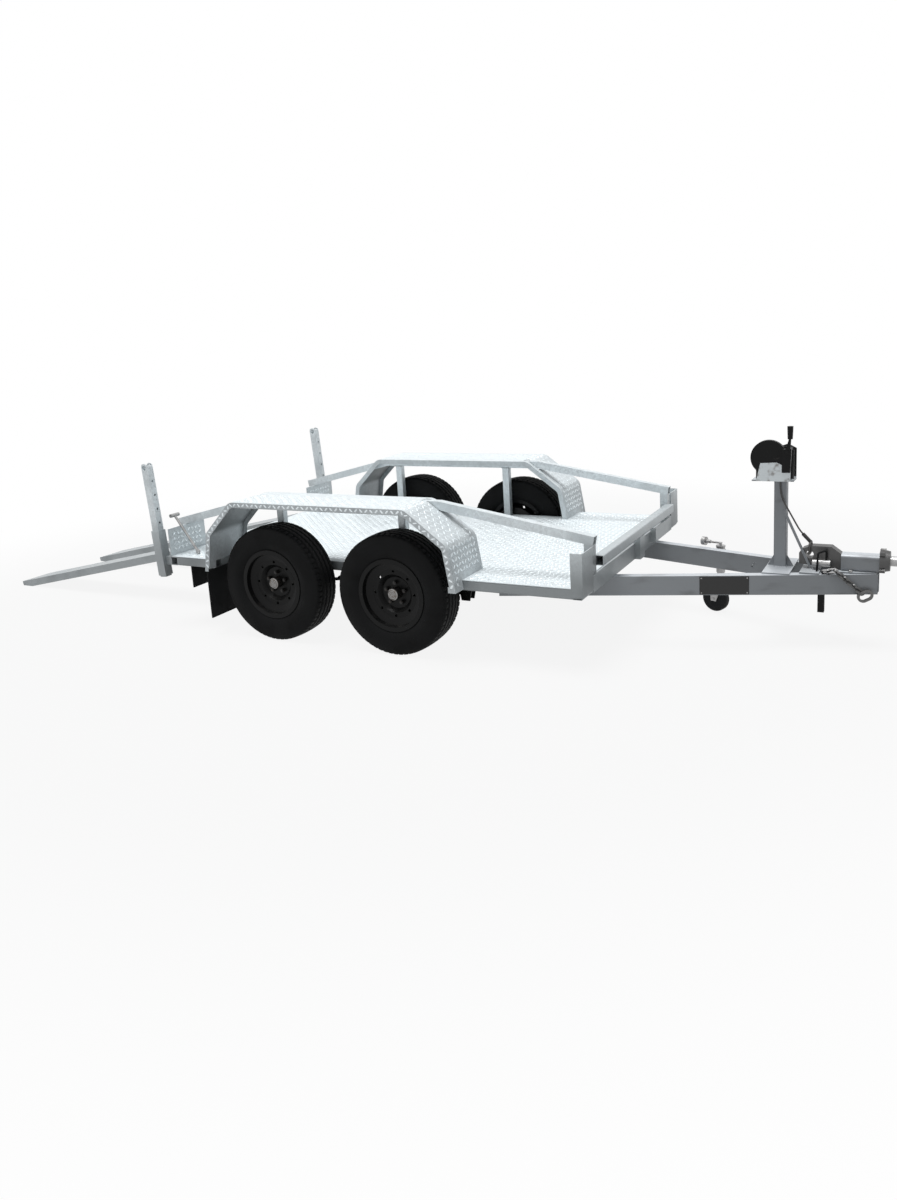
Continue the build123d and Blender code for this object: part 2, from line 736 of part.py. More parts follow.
# Hangers for the springs' eyes, and a rocker between the two springs on each side
eye_turn = asin(leaf_span / 2 / leaf_bend)
eye_reach = (leaf_bend + leaf_thick / 2) * sin(eye_turn)
slipper_z = leaf_top + leaf_bend * (1 - cos(eye_turn))
with BuildPart() as spring_hangers:
    middle_x = (rear_axle_x + front_axle_x) / 2
    hanger_table = (
        # station, half length at the top, half length at the foot, depth below the frame
        (rear_axle_x - eye_reach, 46, 24, hanger_depth),
        (middle_x, 46, 26, hanger_depth - 34),
        (front_axle_x + eye_reach, 46, 24, hanger_depth),
    )
    for _, side in sides:
        for x, top_half, foot_half, depth in hanger_table:
            for plate_side in (-1, 1):
                plate_y = side * spring_y + plate_side * (leaf_width + hanger_plate) / 2
                with BuildSketch(Plane.XZ.offset(-plate_y)):
                    region((
                        (x - top_half, frame_bottom),
                        (x + top_half, frame_bottom),
                        (x + foot_half, frame_bottom - depth),
                        (x - foot_half, frame_bottom - depth),
                    ))
                extrude(amount=hanger_plate / 2, both=True)
            with BuildSketch(Plane.XY.offset(frame_bottom)):
                with Locations((x, side * spring_y)):
                    Rectangle(2 * top_half, leaf_width + 2 * hanger_plate)
            extrude(amount=-hanger_plate)
keep(spring_hangers, "spring_hangers")

rocker_half = axle_spacing / 2 - leaf_span / 2 + 34
with BuildPart() as spring_rockers:
    for _, side in sides:
        with BuildSketch(Plane.XZ.offset(-side * spring_y)):
            region((
                (middle_x - rocker_half, slipper_z),
                (middle_x - rocker_half + 48, slipper_z),
                (middle_x - 26, slipper_z - 18),
                (middle_x + 26, slipper_z - 18),
                (middle_x + rocker_half - 48, slipper_z),
                (middle_x + rocker_half, slipper_z),
                (middle_x + rocker_half - 14, slipper_z + 14),
                (middle_x + 22, slipper_z + 32),
                (middle_x - 22, slipper_z + 32),
                (middle_x - rocker_half + 14, slipper_z + 14),
            ))
        extrude(amount=leaf_width / 2, both=True)
keep(spring_rockers, "spring_rockers")

# Winch post on a plate across the drawbar, with a top plate for the winch
winch_x = nose_x - winch_post_behind_nose
post_half = winch_post_tube / 2
winch_seat = winch_post_top + winch_plate
drum_x, drum_z = winch_x - 51, winch_seat + 117
coil_radius = 46
rope_radius = 4
rope_x = drum_x + coil_radius + rope_radius + run_gap
rope_slot_y = -(post_half + rope_radius + 0.5)
with BuildPart() as winch_post:
    with BuildSketch(Plane.XY.offset(drawbar_top)):
        with Locations((winch_x, 0)):
            Rectangle(130, 2 * drawbar_y(winch_x + 65))
    extrude(amount=winch_plate)
    with BuildSketch(Plane.XY.offset(drawbar_top + winch_plate)):
        with Locations((winch_x, 0)):
            tube_section(winch_post_tube, winch_post_tube, drawbar_wall)
    extrude(amount=winch_post_top - drawbar_top - winch_plate)
    with BuildSketch(Plane.XY.offset(winch_post_top)):
        with Locations((winch_x - 35, 0)):
            Rectangle(200, 92)
        with Locations((rope_x, rope_slot_y)):
            Rectangle(16, 13, mode=Mode.SUBTRACT)
    extrude(amount=winch_plate)
    with BuildSketch(Plane.XZ):
        for way in (-1, 1):
            region((
                (winch_x + way * post_half, drawbar_top + winch_plate),
                (winch_x + way * (post_half + 32), drawbar_top + winch_plate),
                (winch_x + way * post_half, drawbar_top + winch_plate + 60),
            ))
    extrude(amount=winch_plate / 2, both=True)
keep(winch_post, "winch_post")

# Hand winch: two side plates on a base, drum with flanges and a covered gear, lever crank
pinion_x, pinion_z = winch_x + 42, winch_seat + 150
plate_gap = 78
drum_shaft = 10
pinion_shaft = 9
gear_radius = 86
cover_y = 76
cover_plate = 4
lever_y = 106
with BuildPart() as winch_frame:
    for way in (-1, 1):
        with BuildSketch(Plane.XZ.offset(way * (plate_gap / 2 + 2))):
            region((
                (winch_x - 115, winch_seat),
                (winch_x + 65, winch_seat),
                (winch_x + 65, winch_seat + 150),
                (winch_x + 25, winch_seat + 172),
                (winch_x - 70, winch_seat + 140),
                (winch_x - 115, winch_seat + 74),
            ))
            with Locations((drum_x, drum_z)):
                Circle(drum_shaft + run_gap, mode=Mode.SUBTRACT)
            with Locations((pinion_x, pinion_z)):
                Circle(pinion_shaft + run_gap, mode=Mode.SUBTRACT)
        extrude(amount=2, both=True)
    with BuildSketch(Plane.XY.offset(winch_seat)):
        with Locations((winch_x - 25, 0)):
            Rectangle(180, plate_gap)
        with Locations((rope_x, rope_slot_y)):
            Rectangle(16, 13, mode=Mode.SUBTRACT)
    extrude(amount=4)
    with BuildSketch(Plane.XY.offset(winch_seat)):
        with Locations((winch_x - 27, -(plate_gap / 2 + cover_y + cover_plate) / 2)):
            Rectangle(162, cover_y + cover_plate - plate_gap / 2)
    extrude(amount=cover_plate)
    with BuildSketch(Plane.XZ.offset(cover_y)):
        region((
            (winch_x - 108, winch_seat),
            (winch_x + 54, winch_seat),
            (winch_x + 54, winch_seat + 62),
            (winch_x - 11, winch_seat + 94),
            (winch_x - 88, winch_seat + 90),
        ))
    extrude(amount=cover_plate)
keep(winch_frame, "winch_frame")

with BuildPart() as winch_drum:
    drum_table = (
        # radius, from and to across the winch
        (drum_shaft, -70, 52),
        (34, -33, 33),
        (coil_radius, -33, 33),
        (66, -37, -33),
        (66, 33, 37),
        (gear_radius, -72, -46),
    )
    for radius, low, high in drum_table:
        with BuildSketch(Plane.XZ.offset(-low)):
            with Locations((drum_x, drum_z)):
                Circle(radius)
        extrude(amount=low - high)
keep(winch_drum, "winch_drum")

with BuildPart() as winch_crank:
    with BuildSketch(Plane.XZ.offset(-52)):
        with Locations((pinion_x, pinion_z)):
            Circle(pinion_shaft)
    extrude(amount=52 + lever_y + 6)
    with BuildSketch(Plane.XZ.offset(cover_y + cover_plate)):
        region((
            (pinion_x - 26, pinion_z - 103),
            (pinion_x + 12, pinion_z - 103),
            (pinion_x + 17, pinion_z - 20),
            (pinion_x + 17, pinion_z + 16),
            (pinion_x - 26, pinion_z + 12),
        ))
    extrude(amount=20)
    with BuildSketch(Plane.XZ.offset(lever_y)):
        region((
            (pinion_x - 13, pinion_z - 14),
            (pinion_x + 13, pinion_z - 14),
            (pinion_x + 18, pinion_z + 70),
            (pinion_x + 8, pinion_z + 70),
        ))
    extrude(amount=3, both=True)
    with BuildSketch(Plane.XY.offset(pinion_z + 64)):
        with Locations((pinion_x + 13, -lever_y)):
            Circle(12)
    extrude(amount=62, taper=-2)
keep(winch_crank, "winch_crank")

# Rope from the drum down through the winch plate to a shackle on the coupling's casting
rope_y = -(post_half + 6 + rope_radius + 1)
drum_rope_y = rope_radius + 0.5 - 33
hook_x = nose_x - 557
hole_x, hole_z = hook_x + 4, drawbar_top + 78
hole_radius = 19
shackle_bar = 6
shackle_pin = 8
shackle_y = 28 + shackle_bar + 2
shackle_top = drawbar_top + 136
pin_z = hole_z + hole_radius - shackle_pin - seat_gap
rope_points = (
    (rope_x, drum_rope_y, drum_z),
    (rope_x, drum_rope_y, drum_z - 50),
    (rope_x, rope_slot_y, winch_seat),
    (winch_x + 6, rope_y, winch_post_top - 78),
    (winch_x + 68, rope_y, winch_post_top - 193),
    (winch_x + 97, rope_y, winch_post_top - 246),
    (hole_x, 0, shackle_top),
)
shackle_points = (
    (hole_x, -shackle_y, pin_z),
    (hole_x, -shackle_y, shackle_top),
    (hole_x, shackle_y, shackle_top),
    (hole_x, shackle_y, pin_z),
)


def bend_radii(points):
    """Radius at each corner of a route: 0.45 of the shorter run, over the tangent of half the turn."""
    radii = []
    corners = [Vector(*point) for point in points]
    for before, corner, after in zip(corners, corners[1:], corners[2:]):
        turn = radians((corner - before).get_angle(after - corner))
        radii.append(0.45 * min((corner - before).length, (after - corner).length) / tan(turn / 2))
    return radii


print("rope radii", [round(radius) for radius in bend_radii(rope_points)])
with BuildPart() as winch_rope:
    with BuildLine() as rope_path:
        FilletPolyline(*rope_points, radius=bend_radii(rope_points))
    with BuildSketch(Plane(origin=rope_path.line @ 0, z_dir=rope_path.line % 0)):
        Circle(rope_radius)
    sweep(path=rope_path.line)
    with BuildSketch(Plane(origin=rope_path.line @ 1, z_dir=-(rope_path.line % 1))):
        Circle(2 * rope_radius + 1)
    extrude(amount=62)
    with BuildLine() as shackle_path:
        FilletPolyline(*shackle_points, radius=24)
    with BuildSketch(Plane(origin=shackle_path.line @ 0, z_dir=shackle_path.line % 0)):
        Circle(shackle_bar)
    sweep(path=shackle_path.line)
    with BuildSketch(Plane.XZ):
        with Locations((hole_x, pin_z)):
            Circle(shackle_pin)
    extrude(amount=shackle_y + 12, both=True)
keep(winch_rope, "winch_rope")

# Flat bar from the post's right face, beside the casting, to a foot plate across the drawbar
brace_top = winch_post_top - 146
brace_thick = 6
brace_foot_x = winch_x + 155
seat_plate = 8
seat_top = drawbar_top + seat_plate
with BuildPart() as post_brace:
    with BuildSketch(Plane.XZ.offset(post_half)):
        region((
            (winch_x + 14, brace_top - 4),
            (winch_x + 26, brace_top),
            (brace_foot_x, seat_top),
            (brace_foot_x - 13, seat_top),
        ))
    extrude(amount=brace_thick)
    with BuildSketch(Plane.XY.offset(drawbar_top)):
        with Locations((brace_foot_x - 4, 0)):
            Rectangle(90, 2 * drawbar_y(brace_foot_x + 41))
    extrude(amount=seat_plate)
keep(post_brace, "post_brace")

# Override coupling: painted body on its base plate, then castings behind and ahead of it
coupling_z = drawbar_top + 60
body_rear_x = nose_x - 407
body_front_x = nose_x - 235
body_height = 88
base_half = 60
shaft_bore = 24.5
flange_length = 45
lug_circle = 56
with BuildPart() as coupling_body:
    with BuildSketch(Plane.XY.offset(drawbar_top)):
        region((
            (body_rear_x - 40, -base_half),
            (body_rear_x + 60, -base_half),
            (body_front_x - 10, -drawbar_y(body_front_x - 10)),
            (body_front_x - 10, drawbar_y(body_front_x - 10)),
            (body_rear_x + 60, base_half),
            (body_rear_x - 40, base_half),
        ))
    extrude(amount=seat_plate)
    with BuildSketch(Plane.YZ.offset(body_rear_x)):
        with Locations((0, (seat_top + drawbar_top + body_height) / 2)):
            RectangleRounded(84, drawbar_top + body_height - seat_top, 14)
    extrude(amount=body_front_x - body_rear_x)
    with BuildSketch(Plane.YZ.offset(body_front_x)):
        with Locations((0, coupling_z)):
            Circle(shaft_bore)
    extrude(amount=-105, mode=Mode.SUBTRACT)
keep(coupling_body, "coupling_body")

with BuildPart() as coupling_casting:
    with BuildSketch(Plane.XZ):
        region((
            (hook_x - 46, drawbar_top + 30),
            (body_rear_x, seat_top),
            (body_rear_x, drawbar_top + body_height),
            (hook_x + 104, drawbar_top + 122),
            (hook_x + 8, drawbar_top + 122),
            (hook_x - 30, drawbar_top + 106),
            (hook_x - 46, drawbar_top + 84),
        ))
        with Locations((hole_x, hole_z)):
            Circle(hole_radius, mode=Mode.SUBTRACT)
    extrude(amount=28, both=True)
    with BuildSketch(Plane.YZ.offset(body_front_x)):
        with Locations((0, coupling_z)):
            Circle(58)
    extrude(amount=flange_length, taper=12)
    with BuildSketch(Plane.YZ.offset(body_front_x)):
        with Locations((0, coupling_z)):
            with PolarLocations(lug_circle, 4, start_angle=45):
                RegularPolygon(14, 6)
    extrude(amount=24)
    with BuildSketch(Plane.YZ.offset(body_front_x)):
        with Locations((0, coupling_z)):
            Circle(shaft_bore)
    extrude(amount=flange_length, mode=Mode.SUBTRACT)
keep(coupling_casting, "coupling_casting")

# Coupling head: shaft, cup for the ball, and latch lever
ball_radius = 25.4
cup_wall = 14
ball_x = nose_x - ball_radius - cup_wall
ball_z = coupling_z - 20
with BuildPart() as coupling_head:
    with BuildSketch(Plane.YZ.offset(body_front_x - 100)):
        with Locations((0, coupling_z)):
            Circle(24)
    extrude(amount=ball_x - 40 - body_front_x + 100)
    with BuildSketch(Plane.XY.offset(ball_z - 22)):
        with Locations((ball_x, 0)):
            Circle(ball_radius + cup_wall)
        with Locations((ball_x - 38, 0)):
            Rectangle(76, 60)
    extrude(amount=62, taper=5)
    with BuildSketch(Plane.XY.offset(ball_z - 22)):
        with Locations((ball_x, 0)):
            Circle(ball_radius)
    extrude(amount=22, mode=Mode.SUBTRACT)
    with Locations((ball_x, 0, ball_z)):
        Sphere(ball_radius, mode=Mode.SUBTRACT)
    with BuildSketch(Plane.XZ):
        region((
            (ball_x - 20, ball_z + 38),
            (ball_x - 92, ball_z + 66),
            (ball_x - 120, ball_z + 66),
            (ball_x - 120, ball_z + 74),
            (ball_x - 86, ball_z + 76),
            (ball_x + 4, ball_z + 38),
        ))
    extrude(amount=13, both=True)
keep(coupling_head, "coupling_head")

# Brake cylinder beside the rear casting
cylinder_radius = 17
cylinder_z = coupling_z - 18
with BuildPart() as brake_cylinder:
    with BuildSketch(Plane.YZ.offset(hook_x + 20)):
        with Locations((-(28 + cylinder_radius), cylinder_z)):
            Circle(cylinder_radius)
    extrude(amount=82)
keep(brake_cylinder, "brake_cylinder")

# Brake hose: a loop from the cylinder's top over to the right drawbar
hose_radius = 5
hose_points = (
    (hook_x + 84, -(28 + cylinder_radius), cylinder_z + cylinder_radius),
    (hook_x + 84, -(28 + cylinder_radius), cylinder_z + 66),
    (hook_x + 50, -78, cylinder_z + 58),
    (hook_x + 44, -84, drawbar_top),
)
with BuildPart() as brake_hose:
    with BuildLine() as hose_path:
        FilletPolyline(*hose_points, radius=12)
    with BuildSketch(Plane(origin=hose_path.line @ 0, z_dir=hose_path.line % 0)):
        Circle(hose_radius)
    sweep(path=hose_path.line)
    split(bisect_by=Plane.XY.offset(seat_top), keep=Keep.TOP)
keep(brake_hose, "brake_hose")

# Safety chain: links over the right drawbar's edge and down its outer face, to a shackle
link_half = 24
link_width = 13.5
link_bar = 8
chain_pitch = 28.3
chain_clear = (link_width + link_bar / 2) * cos(radians(45)) + 0.2
chain_route = (
    # station, distance outside the drawbar's outer face, height
    (deck_front_x + 964, -16, drawbar_top + chain_clear),
    (deck_front_x + 1022, 4, drawbar_top + chain_clear + 9),
    (deck_front_x + 1042, 23, drawbar_top + 20),
    (deck_front_x + 1062, chain_clear + 12, drawbar_top - 8),
    (deck_front_x + 1158, chain_clear + 3, drawbar_top - 106),
)


def chain_points():
    """Places where the links meet, one pitch apart along the route."""
    corners = [Vector(x, -drawbar_y(x) - out / cos(drawbar_tilt), z) for x, out, z in chain_route]
    points, run = [corners[0]], 0
    here = corners[0]
    while run < len(corners) - 1:
        target = corners[run + 1]
        step = (target - here).length
        if step < chain_pitch:
            run += 1
            continue
        here = here + (target - here).normalized() * chain_pitch
        points.append(here)
    return points


links = chain_points()
with BuildPart() as safety_chain:
    for number, (start, end) in enumerate(zip(links, links[1:])):
        heading = (end - start).normalized()
        level = heading.cross(Vector(0, 0, 1)).normalized()
        upward = level.cross(heading)
        normal = (level + upward * (1 if number % 2 else -1)).normalized()
        with BuildSketch(Plane(origin=(start + end) / 2, x_dir=heading, z_dir=normal)):
            SlotOverall(2 * link_half, 2 * link_width)
            SlotOverall(2 * (link_half - link_bar), 2 * (link_width - link_bar), mode=Mode.SUBTRACT)
        extrude(amount=link_bar / 2, both=True)
    shackle_at = links[-1] + (links[-1] - links[-2]).normalized() * 18
    shackle_face = Plane(origin=shackle_at, x_dir=(cos(drawbar_tilt), sin(drawbar_tilt), 0.5),
                         z_dir=(sin(drawbar_tilt), -cos(drawbar_tilt), 0))
    with BuildSketch(shackle_face):
        SlotOverall(76, 56)
        SlotOverall(52, 32, mode=Mode.SUBTRACT)
    extrude(amount=6, both=True)
keep(safety_chain, "safety_chain")

# Double bar under the right drawbar
under_x = deck_front_x + 959
with BuildPart() as under_bracket:
    with BuildSketch(Plane.XY.offset(drawbar_bottom)):
        with Locations((under_x, -108), (under_x, -88)):
            Rectangle(30, 6)
    extrude(amount=-92)
    with BuildSketch(Plane.XZ.offset(85)):
        with Locations((under_x, drawbar_bottom - 80)):
            Circle(7)
    extrude(amount=26)
keep(under_bracket, "under_bracket")

# Blank sign panel on the right drawbar's outer face
right_face = Plane(
    origin=(deck_front_x + 524, -drawbar_y(deck_front_x + 524), drawbar_top - drawbar_height / 2),
    x_dir=(cos(drawbar_tilt), sin(drawbar_tilt), 0),
    z_dir=(sin(drawbar_tilt), -cos(drawbar_tilt), 0),
)
with BuildPart() as sign_panel:
    with BuildSketch(right_face):
        Rectangle(238, 92)
    extrude(amount=2)
keep(sign_panel, "sign_panel")

# Jockey wheel on the left drawbar: a clamp that swings on a bracket holds its outer tube
jack_station = deck_front_x + 367
jack_normal = Vector(sin(drawbar_tilt), cos(drawbar_tilt), 0)
jack_along = Vector(cos(drawbar_tilt), -sin(drawbar_tilt), 0)
jack_tube_radius = 24
jack_wall = 3
jack_reach = 44
jack_axis = Vector(jack_station, drawbar_y(jack_station), 0) + jack_normal * jack_reach
jack_top = drawbar_top + 8
jack_cap = 6
jack_tube_bottom = 232
jack_leg_top = 316
jack_wheel_radius = 75
jack_wheel_width = 40
jack_trail = 30
jack_axle_radius = 7
fork_plate = 8
fork_plate_z = 2 * jack_wheel_radius + 10
fork_plate_top = fork_plate_z + fork_plate
stem_radius = 10
stem_head_radius = 14
stem_head = 5
fork_leg = 5
fork_inner = jack_wheel_width / 2 + 6
inner_radius = jack_tube_radius - jack_wall - slide_gap
pivot_z = (drawbar_bottom + drawbar_top) / 2
bracket_plate = 8
pivot_boss = 6
clamp_wall = 4
clamp_height = 70
clamp_back = jack_reach - bracket_plate - pivot_boss - seat_gap


def level_at(z):
    """Level plane at a height, from the jack's axis: x along the drawbar, y away from it."""
    return Plane(origin=(jack_axis.X, jack_axis.Y, z), x_dir=jack_along, z_dir=(0, 0, 1))


def beside(out):
    """Upright plane along the drawbar, at a distance outside the jack's axis, its y being the height."""
    origin = jack_axis + jack_normal * out
    return Plane(origin=origin, x_dir=jack_along, z_dir=-jack_normal)


with BuildPart() as jack_bracket:
    with BuildSketch(beside(-jack_reach)):
        with Locations((0, pivot_z)):
            Rectangle(100, drawbar_height - 10)
    extrude(amount=-bracket_plate)
    with BuildSketch(beside(bracket_plate - jack_reach)):
        with Locations((0, pivot_z)):
            Circle(30)
    extrude(amount=-pivot_boss)
keep(jack_bracket, "jack_bracket")

with BuildPart() as jack_clamp:
    with BuildSketch(level_at(pivot_z - clamp_height / 2)):
        Circle(jack_tube_radius + clamp_wall)
        with Locations((0, -clamp_back / 2)):
            Rectangle(44, clamp_back)
        Circle(jack_tube_radius, mode=Mode.SUBTRACT)
    extrude(amount=clamp_height)
keep(jack_clamp, "jack_clamp")

crank_z = jack_top + 14
crank_table = (
    # distance behind the jack's axis, radius, length
    (-7, 6, 70),
    (62, 10, 30),
    (90, 24, 22),
)
with BuildPart() as jack_tube:
    with BuildSketch(level_at(jack_tube_bottom)):
        Circle(jack_tube_radius)
        Circle(jack_tube_radius - jack_wall, mode=Mode.SUBTRACT)
    extrude(amount=jack_top - jack_cap - jack_tube_bottom)
    with BuildSketch(level_at(jack_top - jack_cap)):
        Circle(jack_tube_radius + 2)
    extrude(amount=jack_cap)
    with BuildSketch(level_at(jack_top)):
        Circle(7)
    extrude(amount=crank_z - jack_top)
    for behind, radius, length in crank_table:
        start = jack_axis - jack_along * behind
        with BuildSketch(Plane(origin=(start.X, start.Y, crank_z), z_dir=-jack_along)):
            Circle(radius)
        extrude(amount=length)
keep(jack_tube, "jack_tube")

stem_head_top = fork_plate_z - seat_gap
with BuildPart() as jack_leg:
    with BuildSketch(level_at(fork_plate_top + seat_gap)):
        Circle(inner_radius)
    extrude(amount=jack_leg_top - fork_plate_top - seat_gap)
    with BuildSketch(level_at(stem_head_top)):
        Circle(stem_radius)
    extrude(amount=fork_plate + 2 * seat_gap)
    with BuildSketch(level_at(stem_head_top - stem_head)):
        Circle(stem_head_radius)
    extrude(amount=stem_head)
keep(jack_leg, "jack_leg")

with BuildPart() as jack_fork:
    with BuildSketch(level_at(fork_plate_z)):
        with Locations((-jack_trail / 2, 0)):
            Rectangle(60 + jack_trail, 2 * (fork_inner + fork_leg))
        Circle(stem_radius + run_gap, mode=Mode.SUBTRACT)
    extrude(amount=fork_plate)
    for way in (-1, 1):
        with BuildSketch(beside(way * (fork_inner + fork_leg / 2))):
            region((
                (22, fork_plate_z + 2),
                (-jack_trail - 22, fork_plate_z + 2),
                (-jack_trail - 16, jack_wheel_radius - 12),
                (-jack_trail + 16, jack_wheel_radius - 12),
            ))
        extrude(amount=fork_leg / 2, both=True)
    with BuildSketch(beside(0)):
        with Locations((-jack_trail, jack_wheel_radius)):
            Circle(jack_axle_radius)
    extrude(amount=fork_inner + fork_leg + 4, both=True)
keep(jack_fork, "jack_fork")

with BuildPart() as jack_wheel:
    with BuildSketch(beside(0)):
        with Locations((-jack_trail, jack_wheel_radius)):
            Circle(jack_wheel_radius)
            Circle(jack_axle_radius + run_gap, mode=Mode.SUBTRACT)
    extrude(amount=jack_wheel_width / 2, both=True)
    chamfer(jack_wheel.edges().filter_by(GeomType.CIRCLE).sort_by(SortBy.RADIUS)[-2:], length=7)
keep(jack_wheel, "jack_wheel")

# Rod with a cross grip, leaning on the right rear plate from an eye on the deck
with BuildPart() as hold_rod:
    foot_x, foot_z = deck_rear_x + 134, deck_top + 14
    head_x, head_z = deck_rear_x - 22, deck_top + 232
    rod_y = -(half_deck - 92)
    rod_line = Vector(head_x - foot_x, 0, head_z - foot_z)
    rod_plane = Plane(origin=(foot_x, rod_y, foot_z), z_dir=rod_line)
    with BuildSketch(rod_plane):
        Circle(8)
    extrude(amount=rod_line.length)
    with BuildSketch(Plane.XZ.offset(-rod_y)):
        with Locations((foot_x, foot_z)):
            Circle(14)
    extrude(amount=6, both=True)
    with BuildSketch(Plane.XZ.offset(-rod_y)):
        with Locations((head_x, head_z)):
            Circle(11)
    extrude(amount=34, both=True)
keep(hold_rod, "hold_rod")
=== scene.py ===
"""Looks of a tandem-axle plant trailer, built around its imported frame.

Metres, in the frame's own axes: +X forward to the coupling, +Y to the trailer's left, +Z up from the floor.
"""

import json
from math import atan2, cos, pi, radians, sin

import bpy
import numpy as np
from mathutils import Matrix, Vector


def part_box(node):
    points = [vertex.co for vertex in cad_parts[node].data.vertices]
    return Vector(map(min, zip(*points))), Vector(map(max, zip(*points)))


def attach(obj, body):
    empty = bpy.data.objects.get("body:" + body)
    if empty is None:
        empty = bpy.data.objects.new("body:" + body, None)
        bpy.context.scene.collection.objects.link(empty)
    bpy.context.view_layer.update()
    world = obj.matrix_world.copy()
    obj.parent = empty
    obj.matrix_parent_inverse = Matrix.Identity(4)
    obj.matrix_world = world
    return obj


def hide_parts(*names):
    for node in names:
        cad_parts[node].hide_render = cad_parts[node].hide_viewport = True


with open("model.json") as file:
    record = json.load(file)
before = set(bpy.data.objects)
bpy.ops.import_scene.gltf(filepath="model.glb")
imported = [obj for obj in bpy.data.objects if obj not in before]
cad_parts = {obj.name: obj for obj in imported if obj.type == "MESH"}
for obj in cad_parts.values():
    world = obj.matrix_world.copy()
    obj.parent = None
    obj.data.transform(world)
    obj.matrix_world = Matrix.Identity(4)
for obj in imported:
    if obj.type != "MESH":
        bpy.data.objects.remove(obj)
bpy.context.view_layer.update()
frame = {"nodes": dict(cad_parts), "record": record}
chassis = "chassis"
sides = (("left", 1), ("right", -1))
wheel_places = ("rear_left", "rear_right", "front_left", "front_right")


def centre(node):
    """Middle of a node's box."""
    low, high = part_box(node)
    return (low + high) / 2


# Stations that the pieces below share, read from the frame
deck_low, deck_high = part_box("deck_side_sheets")
deck_rear, deck_front = deck_low.x, deck_high.x + 0.050
deck_top = deck_high.z
half_deck = deck_high.y
rear_plate_inner = half_deck - 0.310
frame_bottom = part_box("deck_rails")[0].z
rail_width = 0.045
rail_outer_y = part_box("side_rails")[1].y
rail_inner_y = rail_outer_y - rail_width
rear_axle_x, front_axle_x = centre("tyre_rear_left").x, centre("tyre_front_left").x
axle_z = centre("tyre_rear_left").z
hub_cap_radius = 0.030
winch_low, winch_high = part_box("winch_post")
winch_post_half = 0.030
winch_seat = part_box("winch_frame")[0].z
winch_cover_y = -0.075
drawbar_low, drawbar_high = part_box("drawbar_left")
drawbar_slope = 0.308
drawbar_tilt = atan2(drawbar_slope, 1)
drawbar_along = np.array((cos(drawbar_tilt), -sin(drawbar_tilt), 0.0))
drawbar_normal = np.array((sin(drawbar_tilt), cos(drawbar_tilt), 0.0))

# Heights between which the painted shade on the frame below the deck fades out, and the width of an edge
# between two finishes
under_deck_shade_full_z, under_deck_shade_none_z = 0.42, 0.70
finish_edge = 0.003


# Camera, fitted to the photograph: its place and turn, its picture's centre and its focal length in pixels
photo_width, photo_height = 897, 1200
picture_centre_x, picture_centre_y = 439.17, 519.88
focal_pixels = 945.28
sensor_width = 36
camera_place = (3.0351, -4.8928, 1.6923)
camera_azimuth = radians(29.1724)
camera_drop = radians(11.6987)
camera_roll = radians(-3.6768)


def set_camera():
    """Look along the azimuth, tipped down by the drop and turned about the line of sight by the roll."""
    forward = Vector((-sin(camera_azimuth) * cos(camera_drop), cos(camera_azimuth) * cos(camera_drop),
                      -sin(camera_drop)))
    level = Vector((cos(camera_azimuth), sin(camera_azimuth), 0))
    upright = level.cross(forward)
    across = level * cos(camera_roll) + upright * sin(camera_roll)
    above = upright * cos(camera_roll) - level * sin(camera_roll)
    lens = bpy.data.cameras.new("camera")
    lens.sensor_width = sensor_width
    lens.lens = focal_pixels * sensor_width / photo_height
    lens.shift_x = (photo_width / 2 - picture_centre_x) / photo_height
    lens.shift_y = (picture_centre_y - photo_height / 2) / photo_height
    camera = bpy.data.objects.new("camera", lens)
    turn = Matrix((across, above, -forward)).transposed().to_4x4()
    camera.matrix_world = Matrix.Translation(camera_place) @ turn
    bpy.context.collection.objects.link(camera)
    bpy.context.scene.camera = camera


class Value:
    """A shader socket that Python's arithmetic works on: each operator adds one Math node."""

    def __init__(self, nodes, socket):
        self.nodes = nodes
        self.socket = socket

    def math(self, operation, first, second):
        """Math node of two values."""
        return self.nodes.node("ShaderNodeMath", {"operation": operation}, {0: first, 1: second})

    def __add__(self, other):
        return self.math("ADD", self, other)

    def __radd__(self, other):
        return self.math("ADD", other, self)

    def __sub__(self, other):
        return self.math("SUBTRACT", self, other)

    def __rsub__(self, other):
        return self.math("SUBTRACT", other, self)

    def __mul__(self, other):
        return self.math("MULTIPLY", self, other)

    def __rmul__(self, other):
        return self.math("MULTIPLY", other, self)

    def __pow__(self, other):
        return self.math("POWER", self, other)


class Nodes:
    """The nodes of one material or of the world."""

    def __init__(self, tree):
        self.tree = tree

    def put(self, socket, value):
        """Link a value to a socket, or set a constant on it."""
        if isinstance(value, Value):
            self.tree.links.new(value.socket, socket)
        else:
            socket.default_value = value

    def node(self, kind, settings, sockets, output=0):
        """Add a node: its settings first, then the values or links of its sockets. Gives one output."""
        made = self.tree.nodes.new(kind)
        for setting, value in settings.items():
            setattr(made, setting, value)
        for socket, value in sockets.items():
            self.put(made.inputs[socket], value)
        return Value(self, made.outputs[output])

    def seen(self):
        """One for a ray from the camera, a reflection or glass, and nought for light on the object."""
        rays = [self.node("ShaderNodeLightPath", {}, {}, ray)
                for ray in ("Is Camera Ray", "Is Glossy Ray", "Is Transmission Ray")]
        return rays[0] + rays[1] + rays[2]

    def rise(self, value, low, high):
        """Smooth step from nought to one between two levels."""
        return self.node("ShaderNodeMapRange", {"interpolation_type": "SMOOTHSTEP"},
                         {"Value": value, "From Min": low, "From Max": high})

    def mix(self, factor, first, second):
        """Colour between two colours."""
        return self.node("ShaderNodeMix", {"data_type": "RGBA"}, {0: factor, 6: first, 7: second}, 2)


